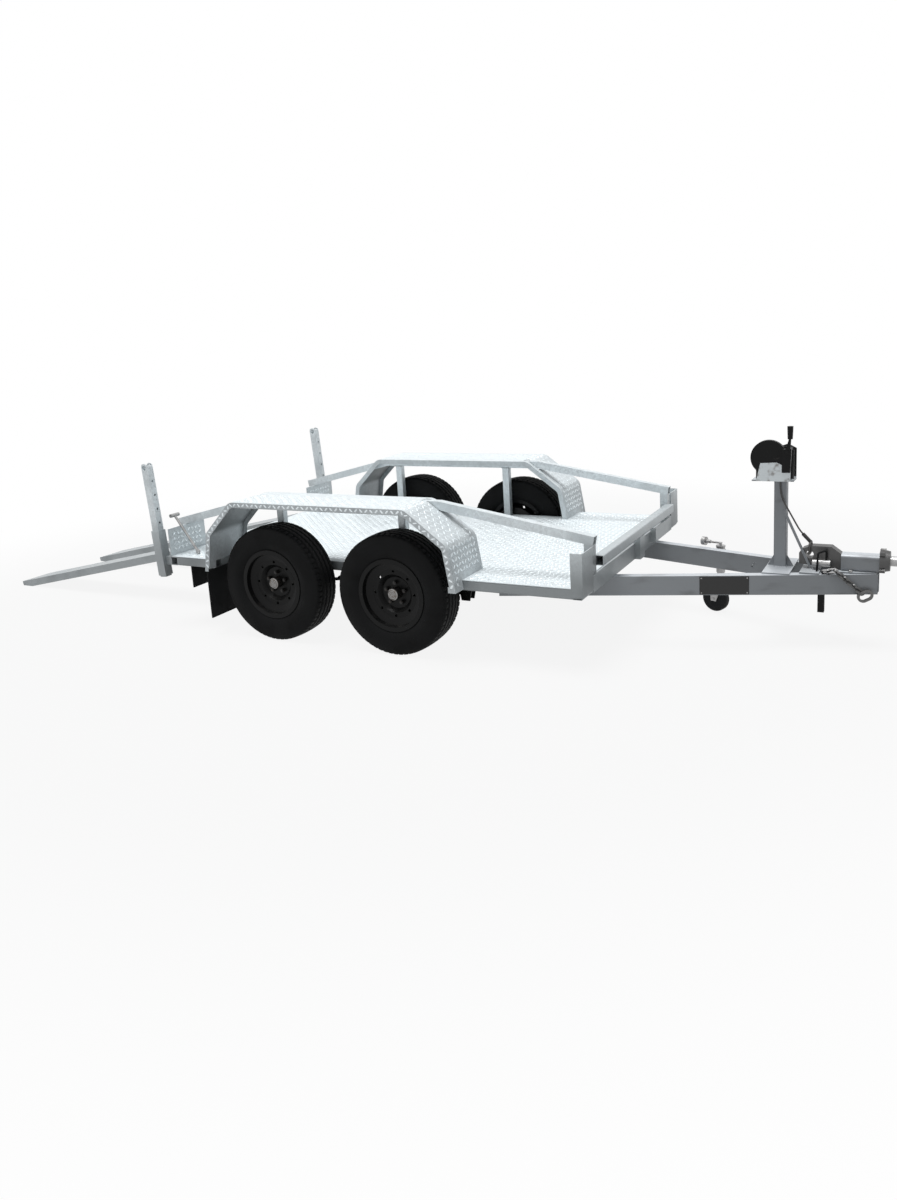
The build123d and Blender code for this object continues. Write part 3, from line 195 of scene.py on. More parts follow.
class Finish(Nodes):
    """A material under a maker's plain name, with the patterns that several finishes share."""

    def __init__(self, name):
        self.material = bpy.data.materials.new(name)
        self.material.use_nodes = True
        super().__init__(self.material.node_tree)
        self.shader = self.tree.nodes["Principled BSDF"]
        self.place = self.node("ShaderNodeTexCoord", {}, {}, "Object")

    def set(self, **sockets):
        """Set the shader's sockets, named with underscores for spaces."""
        for socket, value in sockets.items():
            self.put(self.shader.inputs[socket.replace("_", " ")], value)
        return self

    def cloud(self, scale, detail=4.0, stretch=(1, 1, 1)):
        """Soft noise of so many waves a metre, stretched along the axes."""
        place = self.node("ShaderNodeMapping", {}, {"Vector": self.place, "Scale": stretch})
        return self.node("ShaderNodeTexNoise", {}, {"Vector": place, "Scale": scale, "Detail": detail})

    def crystals(self, scale):
        """Random grey of each cell of a pattern of so many cells a metre."""
        shade = self.node("ShaderNodeTexVoronoi", {}, {"Vector": self.place, "Scale": scale}, "Color")
        return self.node("ShaderNodeSeparateColor", {}, {"Color": shade})

    def along(self, axis):
        """Place along one axis, in metres."""
        return self.node("ShaderNodeSeparateXYZ", {}, {"Vector": self.place}, axis)

    def upward(self):
        """How far the surface faces up, from minus one to one."""
        normal = self.node("ShaderNodeNewGeometry", {}, {}, "Normal")
        return self.node("ShaderNodeSeparateXYZ", {}, {"Vector": normal}, "Z")

    def relief(self, height, depth, strength=1.0):
        """Bump of a height that goes from nought to one over a depth in metres."""
        return self.node("ShaderNodeBump", {}, {"Height": height, "Distance": depth, "Strength": strength})


def grey(level, warm=0.0):
    """Neutral colour, a little warmer or, below nought, cooler."""
    return (level * (1 + warm), level, level * (1 - warm), 1)


def zinc(level):
    """The cool grey of galvanising."""
    return (level * 0.93, level, level * 1.03, 1)


def galvanised(name, level, spangle, metal, rough, film=0.0, slope_shade=0.0):
    """Hot-dipped zinc: crystals of several greys, duller cloudy patches, runs down the sides and fine grain.

    Painted shade darkens what faces down. film is the share of painted shade on all that is below the
    rails, and slopes its share on what isn't level.
    """
    f = Finish(name)
    crystal = f.crystals(spangle)
    fine = f.crystals(spangle * 2.7)
    patch = f.rise(f.cloud(5, 5), 0.46, 0.68)
    run = f.rise(f.cloud(46, 3, (1, 1, 0.06)), 0.5, 0.8)
    tone = crystal * 0.6 + fine * 0.4
    clean = f.mix(tone, zinc(level * 0.84), zinc(min(level * 1.10, 0.93)))
    dull = f.mix(patch * 0.55, clean, zinc(level * 0.90))
    streaked = f.mix(run * 0.20, dull, zinc(level * 0.66))
    # Painted shade: what faces down is mixed towards a dark zinc.
    underside_shade = 1 - f.rise(f.upward(), -0.6, -0.1)
    colour = f.mix(underside_shade * 0.80, streaked, zinc(level * 0.20))
    # Painted shade below the rails, where the deck shades the frame; film is its share.
    if film:
        low = 1 - f.rise(f.along("Z"), under_deck_shade_full_z, under_deck_shade_none_z)
        colour = f.mix(low * film, colour, zinc(level * 0.32))
    # Painted shade on what isn't level; slopes is its share.
    if slope_shade:
        slope_shade_mask = 1 - f.rise(f.upward(), 0.6, 0.9)
        colour = f.mix(slope_shade_mask * slope_shade, colour, zinc(level * 0.30))
    f.set(Base_Color=colour, Metallic=metal - patch * 0.15, Roughness=tone * 0.18 + patch * 0.16 + rough)
    return f.set(Normal=f.relief(tone + f.cloud(420, 2) * 0.6, 0.0004, 0.5))


def silver_paint(name):
    """Flat silver-grey paint: slight orange peel, fine flake and film in clouds.

    What faces up is painted paler, a painted highlight from the light above, and all of it darkens from the
    deck towards the coupling.
    """
    f = Finish(name)
    drift = f.cloud(3.2, 5)
    film = f.rise(f.cloud(14, 6, (0.5, 0.5, 1.6)), 0.52, 0.75)
    flake = f.crystals(900)
    # Darker from the deck towards the coupling.
    forward = f.rise(f.along("X"), drawbar_low.x + 0.5, drawbar_high.x)
    darker_forward = f.mix(forward, grey(0.36, -0.06), grey(0.23, -0.06))
    base = f.mix(drift * 0.4, darker_forward, grey(0.31, -0.055))
    flecked = f.mix(flake * 0.25, base, grey(0.42, -0.04))
    # Painted highlight: what faces up is mixed towards a pale grey.
    lit_top = f.mix(f.rise(f.upward(), 0.3, 1.0) * 0.75, flecked, grey(0.74, -0.05))
    f.set(Base_Color=f.mix(film * 0.35, lit_top, grey(0.20, 0.0)), Specular_IOR_Level=0.3)
    f.set(Metallic=0.22 - film * 0.12, Roughness=0.40 + film * 0.22 + drift * 0.08)
    return f.set(Normal=f.relief(f.cloud(300, 2), 0.00035, 0.4))


def black_paint(name):
    """Satin black paint on steel, with pale dust on what faces up and a few rubbed spots."""
    f = Finish(name)
    dust = f.rise(f.upward(), 0.2, 1.0) * f.rise(f.cloud(24, 6), 0.4, 0.7)
    rubbed = f.rise(f.cloud(60, 7), 0.66, 0.74)
    colour = f.mix(dust * 0.25, grey(0.006, -0.03), grey(0.06, 0.06))
    f.set(Base_Color=f.mix(rubbed * 0.4, colour, grey(0.06, 0.04)), Specular_IOR_Level=0.16)
    f.set(Metallic=rubbed * 0.4, Roughness=0.38 + dust * 0.3)
    return f.set(Normal=f.relief(f.cloud(260, 3), 0.0004, 0.4))


def plated(name, level, stain):
    """Zinc-plated casting: sand-cast grain, browned in clouds."""
    f = Finish(name)
    mottle = f.cloud(38, 6)
    brown = f.rise(f.cloud(22, 7), 0.62 - stain, 0.80 - stain)
    colour = f.mix(mottle, grey(level * 0.72, 0.01), grey(level * 1.15, 0.0))
    f.set(Base_Color=f.mix(brown * 0.8, colour, (0.085, 0.055, 0.04, 1)))
    f.set(Metallic=0.8 - brown * 0.6, Roughness=mottle * 0.2 + brown * 0.25 + 0.30)
    return f.set(Normal=f.relief(f.cloud(650, 4) * 0.6 + mottle, 0.0007, 0.6))


def winch_sheet(name):
    """The winch's frame: bare zinc on its foot and its outer cover, and black paint on the plates inside."""
    f = Finish(name)
    foot_top = winch_seat + 0.006
    outer = 1 - f.rise(f.along("Y"), winch_cover_y, winch_cover_y + finish_edge)
    foot = 1 - f.rise(f.along("Z"), foot_top, foot_top + finish_edge)
    bare = outer + foot - outer * foot
    stain = f.rise(f.cloud(30, 6), 0.56, 0.74)
    sheet = f.mix(stain * 0.5, zinc(0.66), (0.20, 0.14, 0.10, 1))
    f.set(Base_Color=f.mix(bare, grey(0.010, -0.03), sheet))
    f.set(Metallic=bare * (0.5 - stain * 0.4), Roughness=0.36 + stain * 0.25)
    return f.set(Normal=f.relief(f.cloud(300, 4), 0.0004, 0.4))


def turned_steel(name):
    """Hub: a bright turned cap round the axle's line, and a dark flange and nuts beyond its radius."""
    f = Finish(name)
    from_rear, from_front = f.along("X") - rear_axle_x, f.along("X") - front_axle_x
    squares = {0: from_rear * from_rear, 1: from_front * from_front}
    nearest = f.node("ShaderNodeMath", {"operation": "MINIMUM"}, squares)
    up = f.along("Z") - axle_z
    radius = (nearest + up * up) ** 0.5
    cap = 1 - f.rise(radius, hub_cap_radius, hub_cap_radius + finish_edge)
    rust = f.rise(f.cloud(70, 6), 0.50, 0.66)
    tool_mark = 0.004
    turning = f.node("ShaderNodeMath", {"operation": "PINGPONG"}, {0: radius, 1: tool_mark}) * (1 / tool_mark)
    polished = f.mix(turning, grey(0.10, 0.03), grey(0.34, 0.02))
    bright = f.mix(rust * 0.5, polished, (0.12, 0.085, 0.06, 1))
    dark = f.mix(rust * 0.4, grey(0.014, 0.02), (0.09, 0.055, 0.04, 1))
    f.set(Base_Color=f.mix(cap, dark, bright), Metallic=cap * 0.6 + 0.3, Roughness=0.28 + rust * 0.25)
    return f.set(Normal=f.relief(f.cloud(500, 3), 0.0004, 0.5))


def rubber(name, level, grain, dusty):
    """Black rubber with a fine grain, greyed by dust in clouds."""
    f = Finish(name)
    dust = f.rise(f.cloud(9, 7), 0.42, 0.75)
    scuff = f.rise(f.cloud(55, 5), 0.60, 0.72)
    colour = f.mix(dust * dusty, grey(level, -0.06), grey(level * 3.2, 0.03))
    f.set(Base_Color=f.mix(scuff * 0.25, colour, grey(level * 2.4)), Specular_IOR_Level=0.12)
    f.set(Roughness=0.62 + dust * 0.2, Normal=f.relief(f.cloud(grain, 3), 0.0005, 0.5))
    return f


def rope_steel(name):
    """Greased steel wire, dark and lighter grey in a fine cloud."""
    f = Finish(name)
    grease = f.cloud(120, 5)
    colour = f.mix(grease, grey(0.025, 0.05), grey(0.12, 0.02))
    f.set(Base_Color=colour, Metallic=0.7, Roughness=grease * 0.2 + 0.35)
    return f.set(Normal=f.relief(f.cloud(1500, 2), 0.0003, 0.6))


def sign_face(name):
    """Printed black panel with no lettering: a faint sheen and a few fine scratches."""
    f = Finish(name)
    scratch = f.rise(f.cloud(240, 2, (0.15, 0.15, 1)), 0.70, 0.78)
    f.set(Base_Color=f.mix(scratch * 0.3, grey(0.012), grey(0.10)), Roughness=0.34 + scratch * 0.3)
    return f.set(Normal=f.relief(f.cloud(90, 3), 0.0003, 0.3))


# Finishes by the name of a slot, or of the one node that has its own
# A darker copy of the galvanised tube with a larger share of painted shade below the rails: painted shade on
# the deck's side members and corner posts.
shaded_side_band = galvanised("galvanised side band shaded", 0.78, 75, 0.45, 0.34, film=0.86)
finishes = {
    "galvanised_frame": galvanised("galvanised tube", 0.82, 75, 0.45, 0.34, film=0.72),
    "galvanised_bright": galvanised("galvanised tread plate", 0.86, 60, 0.18, 0.40, slope_shade=0.28),
    # The bars are a paler, shinier copy of the tread plate's zinc: a painted highlight where they catch the
    # light.
    "raised_bars": galvanised("tread plate's lit bars", 0.93, 240, 0.85, 0.24),
    "corner_posts": shaded_side_band,
    "deck_side_members": shaded_side_band,
    "painted_drawbar": silver_paint("silver-grey paint"),
    "black_paint": black_paint("satin black paint"),
    "cast_zinc": plated("zinc-plated casting", 0.42, 0.06),
    "machined_hub": turned_steel("turned hub steel"),
    "tyre_rubber": rubber("tyre rubber", 0.006, 420, 0.22),
    "flap_rubber": rubber("flap rubber", 0.012, 260, 0.25),
    "wire_rope": rope_steel("greased wire rope"),
    "sign_black": sign_face("blank black panel"),
    "wheel_rubber": rubber("solid wheel rubber", 0.03, 380, 0.5),
    "dark_casting": plated("rough dark casting", 0.10, 0.0),
    "chain_steel": plated("dull chain steel", 0.15, -0.05),
    "hose_rubber": rubber("hose rubber", 0.012, 500, 0.15),
    "winch_frame": winch_sheet("winch sheet"),
}


def dress_nodes():
    """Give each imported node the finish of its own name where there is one, and otherwise of its slot."""
    for entry in frame["record"]["subparts"]:
        mesh = frame["nodes"][entry["node"]].data
        mesh.materials.clear()
        mesh.materials.append(finishes.get(entry["node"], finishes[entry["material_slot"]]).material)


def piece(name, points, faces, slot, body, smooth=False, finish=None):
    """Mesh object of points (n, 3) and faces (m, 3 or 4), riding on a body.

    It has its slot's finish, or another where finish names one.
    """
    mesh = bpy.data.meshes.new(name)
    mesh.from_pydata(np.asarray(points, float).reshape(-1, 3).tolist(), [], np.asarray(faces).tolist())
    mesh.materials.append(finishes[finish or slot].material)
    if smooth:
        mesh.shade_smooth()
    else:
        mesh.shade_flat()
    made = bpy.data.objects.new(name, mesh)
    bpy.context.collection.objects.link(made)
    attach(made, body)
    return made


def grid_faces(rows, columns, wrap_rows=False, wrap_columns=False):
    """Quads of a grid of points, row by row, joined round either way where it closes."""
    row = np.arange(rows if wrap_rows else rows - 1)[:, None]
    column = np.arange(columns if wrap_columns else columns - 1)[None, :]
    next_row, next_column = (row + 1) % rows, (column + 1) % columns
    corners = (row * columns + column, row * columns + next_column,
               next_row * columns + next_column, next_row * columns + column)
    shape = (row.size, column.size)
    return np.stack([np.broadcast_to(corner, shape) for corner in corners], -1).reshape(-1, 4)


def joined(shapes):
    """Points and faces of several meshes as one, each shape's faces counted on from the last."""
    points, faces, start = [], [], 0
    for shape_points, shape_faces in shapes:
        shape_points = np.asarray(shape_points, float).reshape(-1, 3)
        points.append(shape_points)
        faces.append(np.asarray(shape_faces) + start)
        start += len(shape_points)
    return np.concatenate(points), np.concatenate(faces)


def unit(vectors):
    """Vectors of length one."""
    return vectors / np.linalg.norm(vectors, axis=-1, keepdims=True)


def swept(path, radius, around, reference=(0.03, 0.05, 1.0)):
    """Round tube along a path: each station is a circle square to the path, capped by points at both ends.

    The circle's first axis is the path's direction crossed with a fixed reference direction.
    """
    path = np.asarray(path, float)
    ahead = np.roll(path, -1, 0) - np.roll(path, 1, 0)
    ahead[0], ahead[-1] = path[1] - path[0], path[-1] - path[-2]
    ahead = unit(ahead)
    across = unit(np.cross(ahead, reference))
    above = np.cross(across, ahead)
    turn = np.arange(around) * 2 * pi / around
    radius = np.broadcast_to(np.asarray(radius, float), (len(path),))
    ring = np.cos(turn)[None, :, None] * across[:, None] + np.sin(turn)[None, :, None] * above[:, None]
    points = path[:, None] + radius[:, None, None] * ring
    first, last = (np.repeat(end, around, 1) for end in (path[:1, None], path[-1:, None]))
    points = np.concatenate([first, points, last])
    return points, grid_faces(len(path) + 2, around, False, True)


def turned(profile, origin, axis, around, ring=False):
    """Shape turned about an axis: the profile gives distance along the axis and radius at each station.

    A ring's profile is closed from its last station to its first.
    """
    profile = np.asarray(profile, float)
    axis = unit(np.asarray(axis, float))
    first = unit(np.cross(axis, (0.31, 0.77, 0.11) if abs(axis[1]) < 0.7 else (0.9, 0.1, 0.3)))
    second = np.cross(axis, first)
    turn = np.arange(around) * 2 * pi / around
    spokes = np.cos(turn)[:, None] * first + np.sin(turn)[:, None] * second
    points = np.asarray(origin) + profile[:, None, :1] * axis + profile[:, None, 1:] * spokes[None]
    return points, grid_faces(len(profile), around, ring, True)


def bolt_heads(places, across_flats=0.017, height=0.0075, washer=0.0018):
    """Hexagon heads on washers, from a table of seats and directions.

    Each is turned about its direction: a disc for the washer, then a six-sided head with a low crown.
    """
    shapes = []
    corner = across_flats / 2 / cos(pi / 6)
    for seat, direction in places:
        disc = ((0, 0), (0, corner * 1.18), (washer, corner * 1.18), (washer, 0))
        head = ((washer, 0), (washer, corner), (washer + height * 0.85, corner),
                (washer + height, corner * 0.82), (washer + height, 0))
        shapes.append(turned(disc, seat, direction, 20))
        shapes.append(turned(head, seat, direction, 6))
    return joined(shapes)


def weld_bead(start, end, size=0.0035):
    """Bead of weld between two points: a thin rope whose radius ripples with each drop laid down."""
    start, end = np.asarray(start, float), np.asarray(end, float)
    length = np.linalg.norm(end - start)
    stations = max(int(length / 0.0022), 4)
    along = np.linspace(0, 1, stations)[:, None]
    ripple = size * (1 + 0.16 * np.cos(along[:, 0] * length / 0.0066 * 2 * pi))
    return swept(start + along * (end - start), ripple, 8)


# Tyres: the outline's half section, as distance from the middle plane and radius at each station
tyre_radius = (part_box("tyre_rear_left")[1].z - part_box("tyre_rear_left")[0].z) / 2
tyre_half = (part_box("tyre_rear_left")[1].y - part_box("tyre_rear_left")[0].y) / 2
bead_radius, bead_half, rim_lip = 0.178, 0.080, 0.018
tread_half = tyre_half - 0.024
tread_crown = 0.004
tread_grooves = (-0.050, -0.017, 0.017, 0.050)
groove_half, groove_depth, groove_weave = 0.0042, 0.0075, 0.0022
wall_stations, tread_stations, tyre_steps = 26, 61, 384

# Cuts across the shoulders: their number and start, and their shares of a groove's depth and of half a pitch
cuts_round, cut_from, cut_depth, cut_half = 64, 0.060, 0.8, 0.09


def tyre_section():
    """Closed section of a tyre: flat bead, bulged walls with raised rings, rounded shoulders, crowned tread.

    Gives the distances from the middle plane, the radii, and how far each station belongs to the tread.
    """
    wall_turn = np.linspace(0, 1, wall_stations)
    bulge_mid, shoulder_y, shoulder_r = tyre_radius - 0.078, tyre_half - 0.012, tyre_radius - 0.014
    wall_r = bead_radius + rim_lip + (shoulder_r - bead_radius - rim_lip) * wall_turn
    below = np.clip((bulge_mid - wall_r) / (bulge_mid - bead_radius - rim_lip), 0, 1)
    above = np.clip((wall_r - bulge_mid) / (shoulder_r - bulge_mid), 0, 1)
    wall_y = tyre_half - (tyre_half - bead_half) * below ** 2 - (tyre_half - shoulder_y) * above ** 2
    ring_radii, ring_height, ring_width = (0.212, 0.222, 0.288), 0.0014, 0.0022
    from_ring = np.min([((wall_r - ring) / ring_width) ** 2 for ring in ring_radii], 0)
    inset = ring_height - ring_height * np.exp(-from_ring)
    wall_y = wall_y - inset * np.sin(wall_turn * pi)
    tread_y = np.linspace(tread_half, -tread_half, tread_stations)
    tread_r = tyre_radius - tread_crown * (tread_y / tread_half) ** 2
    half_y = np.concatenate([[bead_half], wall_y])
    half_r = np.concatenate([[bead_radius], wall_r])
    distance = np.concatenate([half_y, tread_y, -half_y[::-1]])
    radius = np.concatenate([half_r, tread_r, half_r[::-1]])
    tread = np.concatenate([np.zeros(len(half_y)), np.ones(tread_stations), np.zeros(len(half_y))])
    return distance, radius, tread


def tyre(place):
    """Tyre as a function of the turn about its axle and the station of its section.

    The radius drops in four grooves that weave from side to side, and in short cuts across both shoulders.
    """
    distance, radius, tread = tyre_section()
    turn = (np.arange(tyre_steps) * 2 * pi / tyre_steps)[:, None]
    from_cut = np.abs((turn * cuts_round / 2 / pi) % 1 - 0.5)
    weave = groove_weave * (4 * from_cut - 1)
    cut = np.zeros((tyre_steps, len(distance)))
    for groove in tread_grooves:
        cut = np.maximum(cut, np.clip(1.6 - np.abs(distance - groove - weave) / groove_half, 0, 1))
    in_cut = (from_cut < cut_half).astype(float)
    cut = np.maximum(cut, in_cut * (np.abs(distance) > cut_from) * cut_depth)
    radii = radius - groove_depth * cut * tread
    middle = centre(f"tyre_{place}")
    points = np.stack([middle.x + radii * np.cos(turn), np.broadcast_to(middle.y + distance, radii.shape),
                       middle.z + radii * np.sin(turn)], -1)
    made = piece(f"tread_{place}", points, grid_faces(tyre_steps, len(distance), True, True),
                 "tyre_rubber", f"wheel_{place}", smooth=True)
    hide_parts(f"tyre_{place}")


# Tread plate: raised bars on a square lattice, each turned a quarter from its neighbours
bar_pitch, bar_length, bar_width, bar_height = 0.031, 0.029, 0.0120, 0.0020
bar_shape = np.array([
    # along, across, height, as shares of the bar's length, width and height
    (0.50, 0.00, -0.2), (0.26, 0.50, -0.2), (-0.26, 0.50, -0.2), (-0.50, 0.00, -0.2), (-0.26, -0.50, -0.2),
    (0.26, -0.50, -0.2), (0.28, 0.00, 1.0), (-0.28, 0.00, 1.0),
])
bar_faces = np.array([
    (0, 1, 6), (1, 2, 7), (1, 7, 6), (2, 3, 7), (3, 4, 7), (4, 5, 6), (4, 6, 7), (5, 0, 6),
    (0, 5, 4), (0, 4, 3), (0, 3, 2), (0, 2, 1),
])


def tread_bars(lengths, widths, keep=None):
    """Bars over a flat rectangle: their corners' places along, across and above it, and their faces.

    The lattice is centred in the rectangle. keep says which places have a bar.
    """
    (low, high), (left, right) = lengths, widths
    rows = np.arange(int((high - low) / bar_pitch)) * bar_pitch
    columns = np.arange(int((right - left) / bar_pitch)) * bar_pitch
    rows = rows - rows.mean() + (low + high) / 2
    columns = columns - columns.mean() + (left + right) / 2
    along, across = np.meshgrid(rows, columns, indexing="ij")
    lean = np.where(np.add.outer(np.arange(len(rows)), np.arange(len(columns))) % 2, pi / 4, -pi / 4)
    if keep is not None:
        kept = keep(along, across)
        along, across, lean = along[kept], across[kept], lean[kept]
    along, across, lean = along.ravel()[:, None], across.ravel()[:, None], lean.ravel()[:, None]
    length, width = bar_shape[:, 0] * bar_length, bar_shape[:, 1] * bar_width
    corners = np.stack([along + length * np.cos(lean) - width * np.sin(lean),
                        across + length * np.sin(lean) + width * np.cos(lean),
                        np.broadcast_to(bar_shape[:, 2] * bar_height, (along.size, len(bar_shape)))], -1)
    faces = bar_faces[None] + (np.arange(along.size) * len(bar_shape))[:, None, None]
    return corners.reshape(-1, 3), faces.reshape(-1, 3)


def bent_path(points, bend):
    """Path of straight runs joined by arcs of one radius, as points and their distances along it.

    At each corner the arc's tangent length is the radius times the tangent of half the turn.
    """
    points = np.asarray(points, float)
    places = [points[:1]]
    for before, corner, after in zip(points, points[1:], points[2:]):
        inward, outward = unit(corner - before), unit(after - corner)
        turn = np.arctan2(inward[0] * outward[1] - inward[1] * outward[0], inward @ outward)
        tangent = bend * np.tan(abs(turn) / 2)
        start = corner - inward * tangent
        normal = np.array((-inward[1], inward[0])) * np.sign(turn)
        swing = np.linspace(0, abs(turn), 14)[:, None]
        places.append(start + bend * (np.sin(swing) * inward + (1 - np.cos(swing)) * normal))
    places.append(points[-1:])
    places = np.concatenate(places)
    lengths = np.concatenate([[0], np.cumsum(np.linalg.norm(np.diff(places, axis=0), axis=1))])
    return places, lengths


def on_path(along, path, lengths, step=0.002):
    """Places and headings at distances along a path: each heading runs from a step before to a step after."""
    def place(distance):
        return np.stack([np.interp(distance, lengths, path[:, axis]) for axis in (0, 1)], -1)

    return place(along), unit(place(along + step) - place(along - step))


guard_low, guard_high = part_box("guard_left")
guard_bend = 0.070
guard_margin = 0.018
lip_depth = 0.032
guard_outline = (
    # x, z of the guard's outer surface, from its rear foot to its front foot
    (guard_low.x, guard_low.z),
    (guard_low.x + 0.038, 0.610),
    (rear_axle_x - 0.210, guard_high.z),
    (front_axle_x + 0.138, guard_high.z),
    (guard_high.x - 0.038, 0.620),
    (guard_high.x, guard_low.z),
)


def deck_tread():
    """Bars all over the deck, apart from the wells and the strips under the rails beside them."""
    margin = 0.024

    def on_deck(x, y):
        beside_guard = (x > guard_low.x - margin) & (x < guard_high.x + margin)
        return ~(beside_guard & (abs(y) > rail_inner_y - margin))

    points, faces = tread_bars((deck_low.x + margin, deck_high.x - margin),
                               (margin - half_deck, half_deck - margin), on_deck)
    points[:, 2] += deck_top
    piece("deck_tread", points, faces, "galvanised_bright", chassis, finish="raised_bars")


def guard_tread(side_name, side):
    """Bars over a wheel guard, laid out flat along the sheet and bent with it, and one row on its lip.

    On the sheet a bar's height goes square to the path. On the lip the place across the row does, and the
    height goes outwards.
    """
    path, lengths = bent_path(guard_outline, guard_bend)
    low_y, high_y = (corner.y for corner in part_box(f"guard_{side_name}"))
    whole_run = (guard_margin, lengths[-1] - guard_margin)
    clearance = 0.02
    rail_over_z = guard_high.z - 0.13

    def on_guard(along, across):
        z = np.interp(along, lengths, path[:, 1])
        beside_rail = (abs(across) > rail_inner_y - clearance) & (abs(across) < rail_outer_y + clearance)
        at_rail = beside_rail & (z > rail_over_z)
        under_deck = (abs(across) < half_deck + clearance) & (z < deck_top + clearance)
        return ~(at_rail | under_deck)

    flat, faces = tread_bars(whole_run, (low_y + guard_margin, high_y - guard_margin), on_guard)
    place, ahead = on_path(flat[:, 0], path, lengths)
    sheet = np.stack([place[:, 0] - ahead[:, 1] * flat[:, 2], flat[:, 1],
                      place[:, 1] + ahead[:, 0] * flat[:, 2]], -1)
    flat, lip_faces = tread_bars(whole_run, (0, lip_depth))
    place, ahead = on_path(flat[:, 0], path, lengths)
    outside = high_y if side > 0 else low_y
    lip = np.stack([place[:, 0] + ahead[:, 1] * flat[:, 1], outside + side * flat[:, 2],
                    place[:, 1] - ahead[:, 0] * flat[:, 1]], -1)
    if side > 0:
        lip_faces = lip_faces[:, ::-1]
    points, faces = joined(((sheet, faces[:, ::-1]), (lip, lip_faces)))
    piece(f"guard_tread_{side_name}", points, faces, "galvanised_bright", chassis, finish="raised_bars")


def rear_plate_tread():
    """Bars on both faces of the plates across the deck's rear corners."""
    low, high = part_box("rear_plates")
    margin = 0.02
    shapes = []
    for _, side in sides:
        edges = sorted((side * (rear_plate_inner + margin), side * (half_deck - margin)))
        flat, faces = tread_bars(edges, (deck_top + margin, high.z - margin))
        for x, way in ((low.x, -1), (high.x, 1)):
            points = np.stack([x + way * flat[:, 2], flat[:, 0], flat[:, 1]], -1)
            shapes.append((points, faces if way > 0 else faces[:, ::-1]))
    points, faces = joined(shapes)
    piece("rear_plate_tread", points, faces, "galvanised_bright", chassis, finish="raised_bars")


def u_bolts():
    """Two bolts round each axle beam at each spring, bent as a squared U, with nuts under the leaf pack."""
    spring_y, half_leaf, half_beam = 0.665, 0.0225, 0.0225
    spring_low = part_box("leaf_springs")[0].z
    half_plate = (0.042, 0.042, 0.004)
    bar, reach, bend, gap = 0.006, 0.030, 0.012, 0.001
    end, top = spring_low - 0.016, centre("axles").z + half_beam + bar
    shapes, nuts = [], []
    for axle_x in (rear_axle_x, front_axle_x):
        rear, front = axle_x - reach, axle_x + reach
        outline, _ = bent_path(((rear, end), (rear, top), (front, top), (front, end)), bend)
        for _, side in sides:
            for station in (-1, 1):
                y = side * spring_y + station * (half_leaf + bar + gap)
                path = np.stack([outline[:, 0], np.full(len(outline), y), outline[:, 1]], -1)
                shapes.append(swept(path, bar, 10, (0.0, 1.0, 0.02)))
                nuts += [((x, y, spring_low - 2 * half_plate[2]), (0, 0, -1)) for x in (rear, front)]
            shapes.append(slab((axle_x, side * spring_y, spring_low - half_plate[2]), half_plate))
    shapes.append(bolt_heads(nuts, 0.019, 0.010))
    points, faces = joined(shapes)
    piece("spring_u_bolts", points, faces, "black_paint", chassis)


def slab(middle, half):
    """Flat block with eased edges: a superellipse in plan, lofted through four levels and closed."""
    levels = np.array((-1, -1, -0.7, 0.7, 1, 1))
    shares = np.array((0, 0.96, 1, 1, 0.96, 0))
    angle = np.arange(32) * 2 * pi / 32
    power = 0.24
    plan_x = np.sign(np.cos(angle)) * np.abs(np.cos(angle)) ** power
    plan_y = np.sign(np.sin(angle)) * np.abs(np.sin(angle)) ** power
    x = middle[0] + half[0] * shares[:, None] * plan_x
    y = middle[1] + half[1] * shares[:, None] * plan_y
    z = np.broadcast_to(middle[2] + half[2] * levels[:, None], x.shape)
    return np.stack([x, y, z], -1), grid_faces(len(levels), len(angle), False, True)


def brake_shields():
    """Dished plate behind each wheel's brake drum, turned about the axle, with its rim folded outwards."""
    # Distance outwards and radius at each corner of its section
    profile = ((0, 0.030), (0, 0.146), (0.012, 0.150), (0.012, 0.148), (0.0015, 0.144), (0.0015, 0.030))
    behind_tyre = 0.116
    shapes = []
    for place in wheel_places:
        middle = centre(f"tyre_{place}")
        side = 1 if middle.y > 0 else -1
        seat = middle - Vector((0, side * behind_tyre, 0))
        shapes.append(turned(profile, seat, (0, side, 0), 48, ring=True))
    points, faces = joined(shapes)
    piece("brake_shields", points, faces, "black_paint", chassis, smooth=True)


def weld_square(middle, half):
    """Beads round the foot of a square tube, one to a side."""
    corners = [np.add(middle, (sx * half, sy * half, 0)) for sx, sy in ((-1, -1), (1, -1), (1, 1), (-1, 1))]
    return [weld_bead(corners[number], corners[(number + 1) % 4]) for number in range(4)]


def frame_welds():
    """Beads round the uprights, below the rear plates, at the deck's front corners and by the winch post."""
    beads = []
    upright_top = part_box("guard_uprights")[1].z
    half = rail_width / 2
    # Each axle, and how far behind it the upright stands
    for axle_x, behind in ((rear_axle_x, 0.060), (front_axle_x, 0.030)):
        for _, side in sides:
            for z in (deck_top, upright_top):
                beads += weld_square((axle_x - behind, side * (rail_outer_y - half), z), half)
    front_z, front_length = frame_bottom + 0.01, 0.054
    post_half, post_z = winch_post_half, drawbar_high.z
    for _, side in sides:
        y = side * half_deck
        beads.append(weld_bead((deck_rear, side * rear_plate_inner, deck_top), (deck_rear, y, deck_top)))
        beads.append(weld_bead((deck_front, y, front_z), (deck_front - front_length, y, front_z)))
        for x in (winch_low.x, winch_high.x):
            beads.append(weld_bead((x, -post_half, post_z), (x, post_half, post_z)))
    points, faces = joined(beads)
    piece("frame_welds", points, faces, "galvanised_frame", chassis, smooth=True)


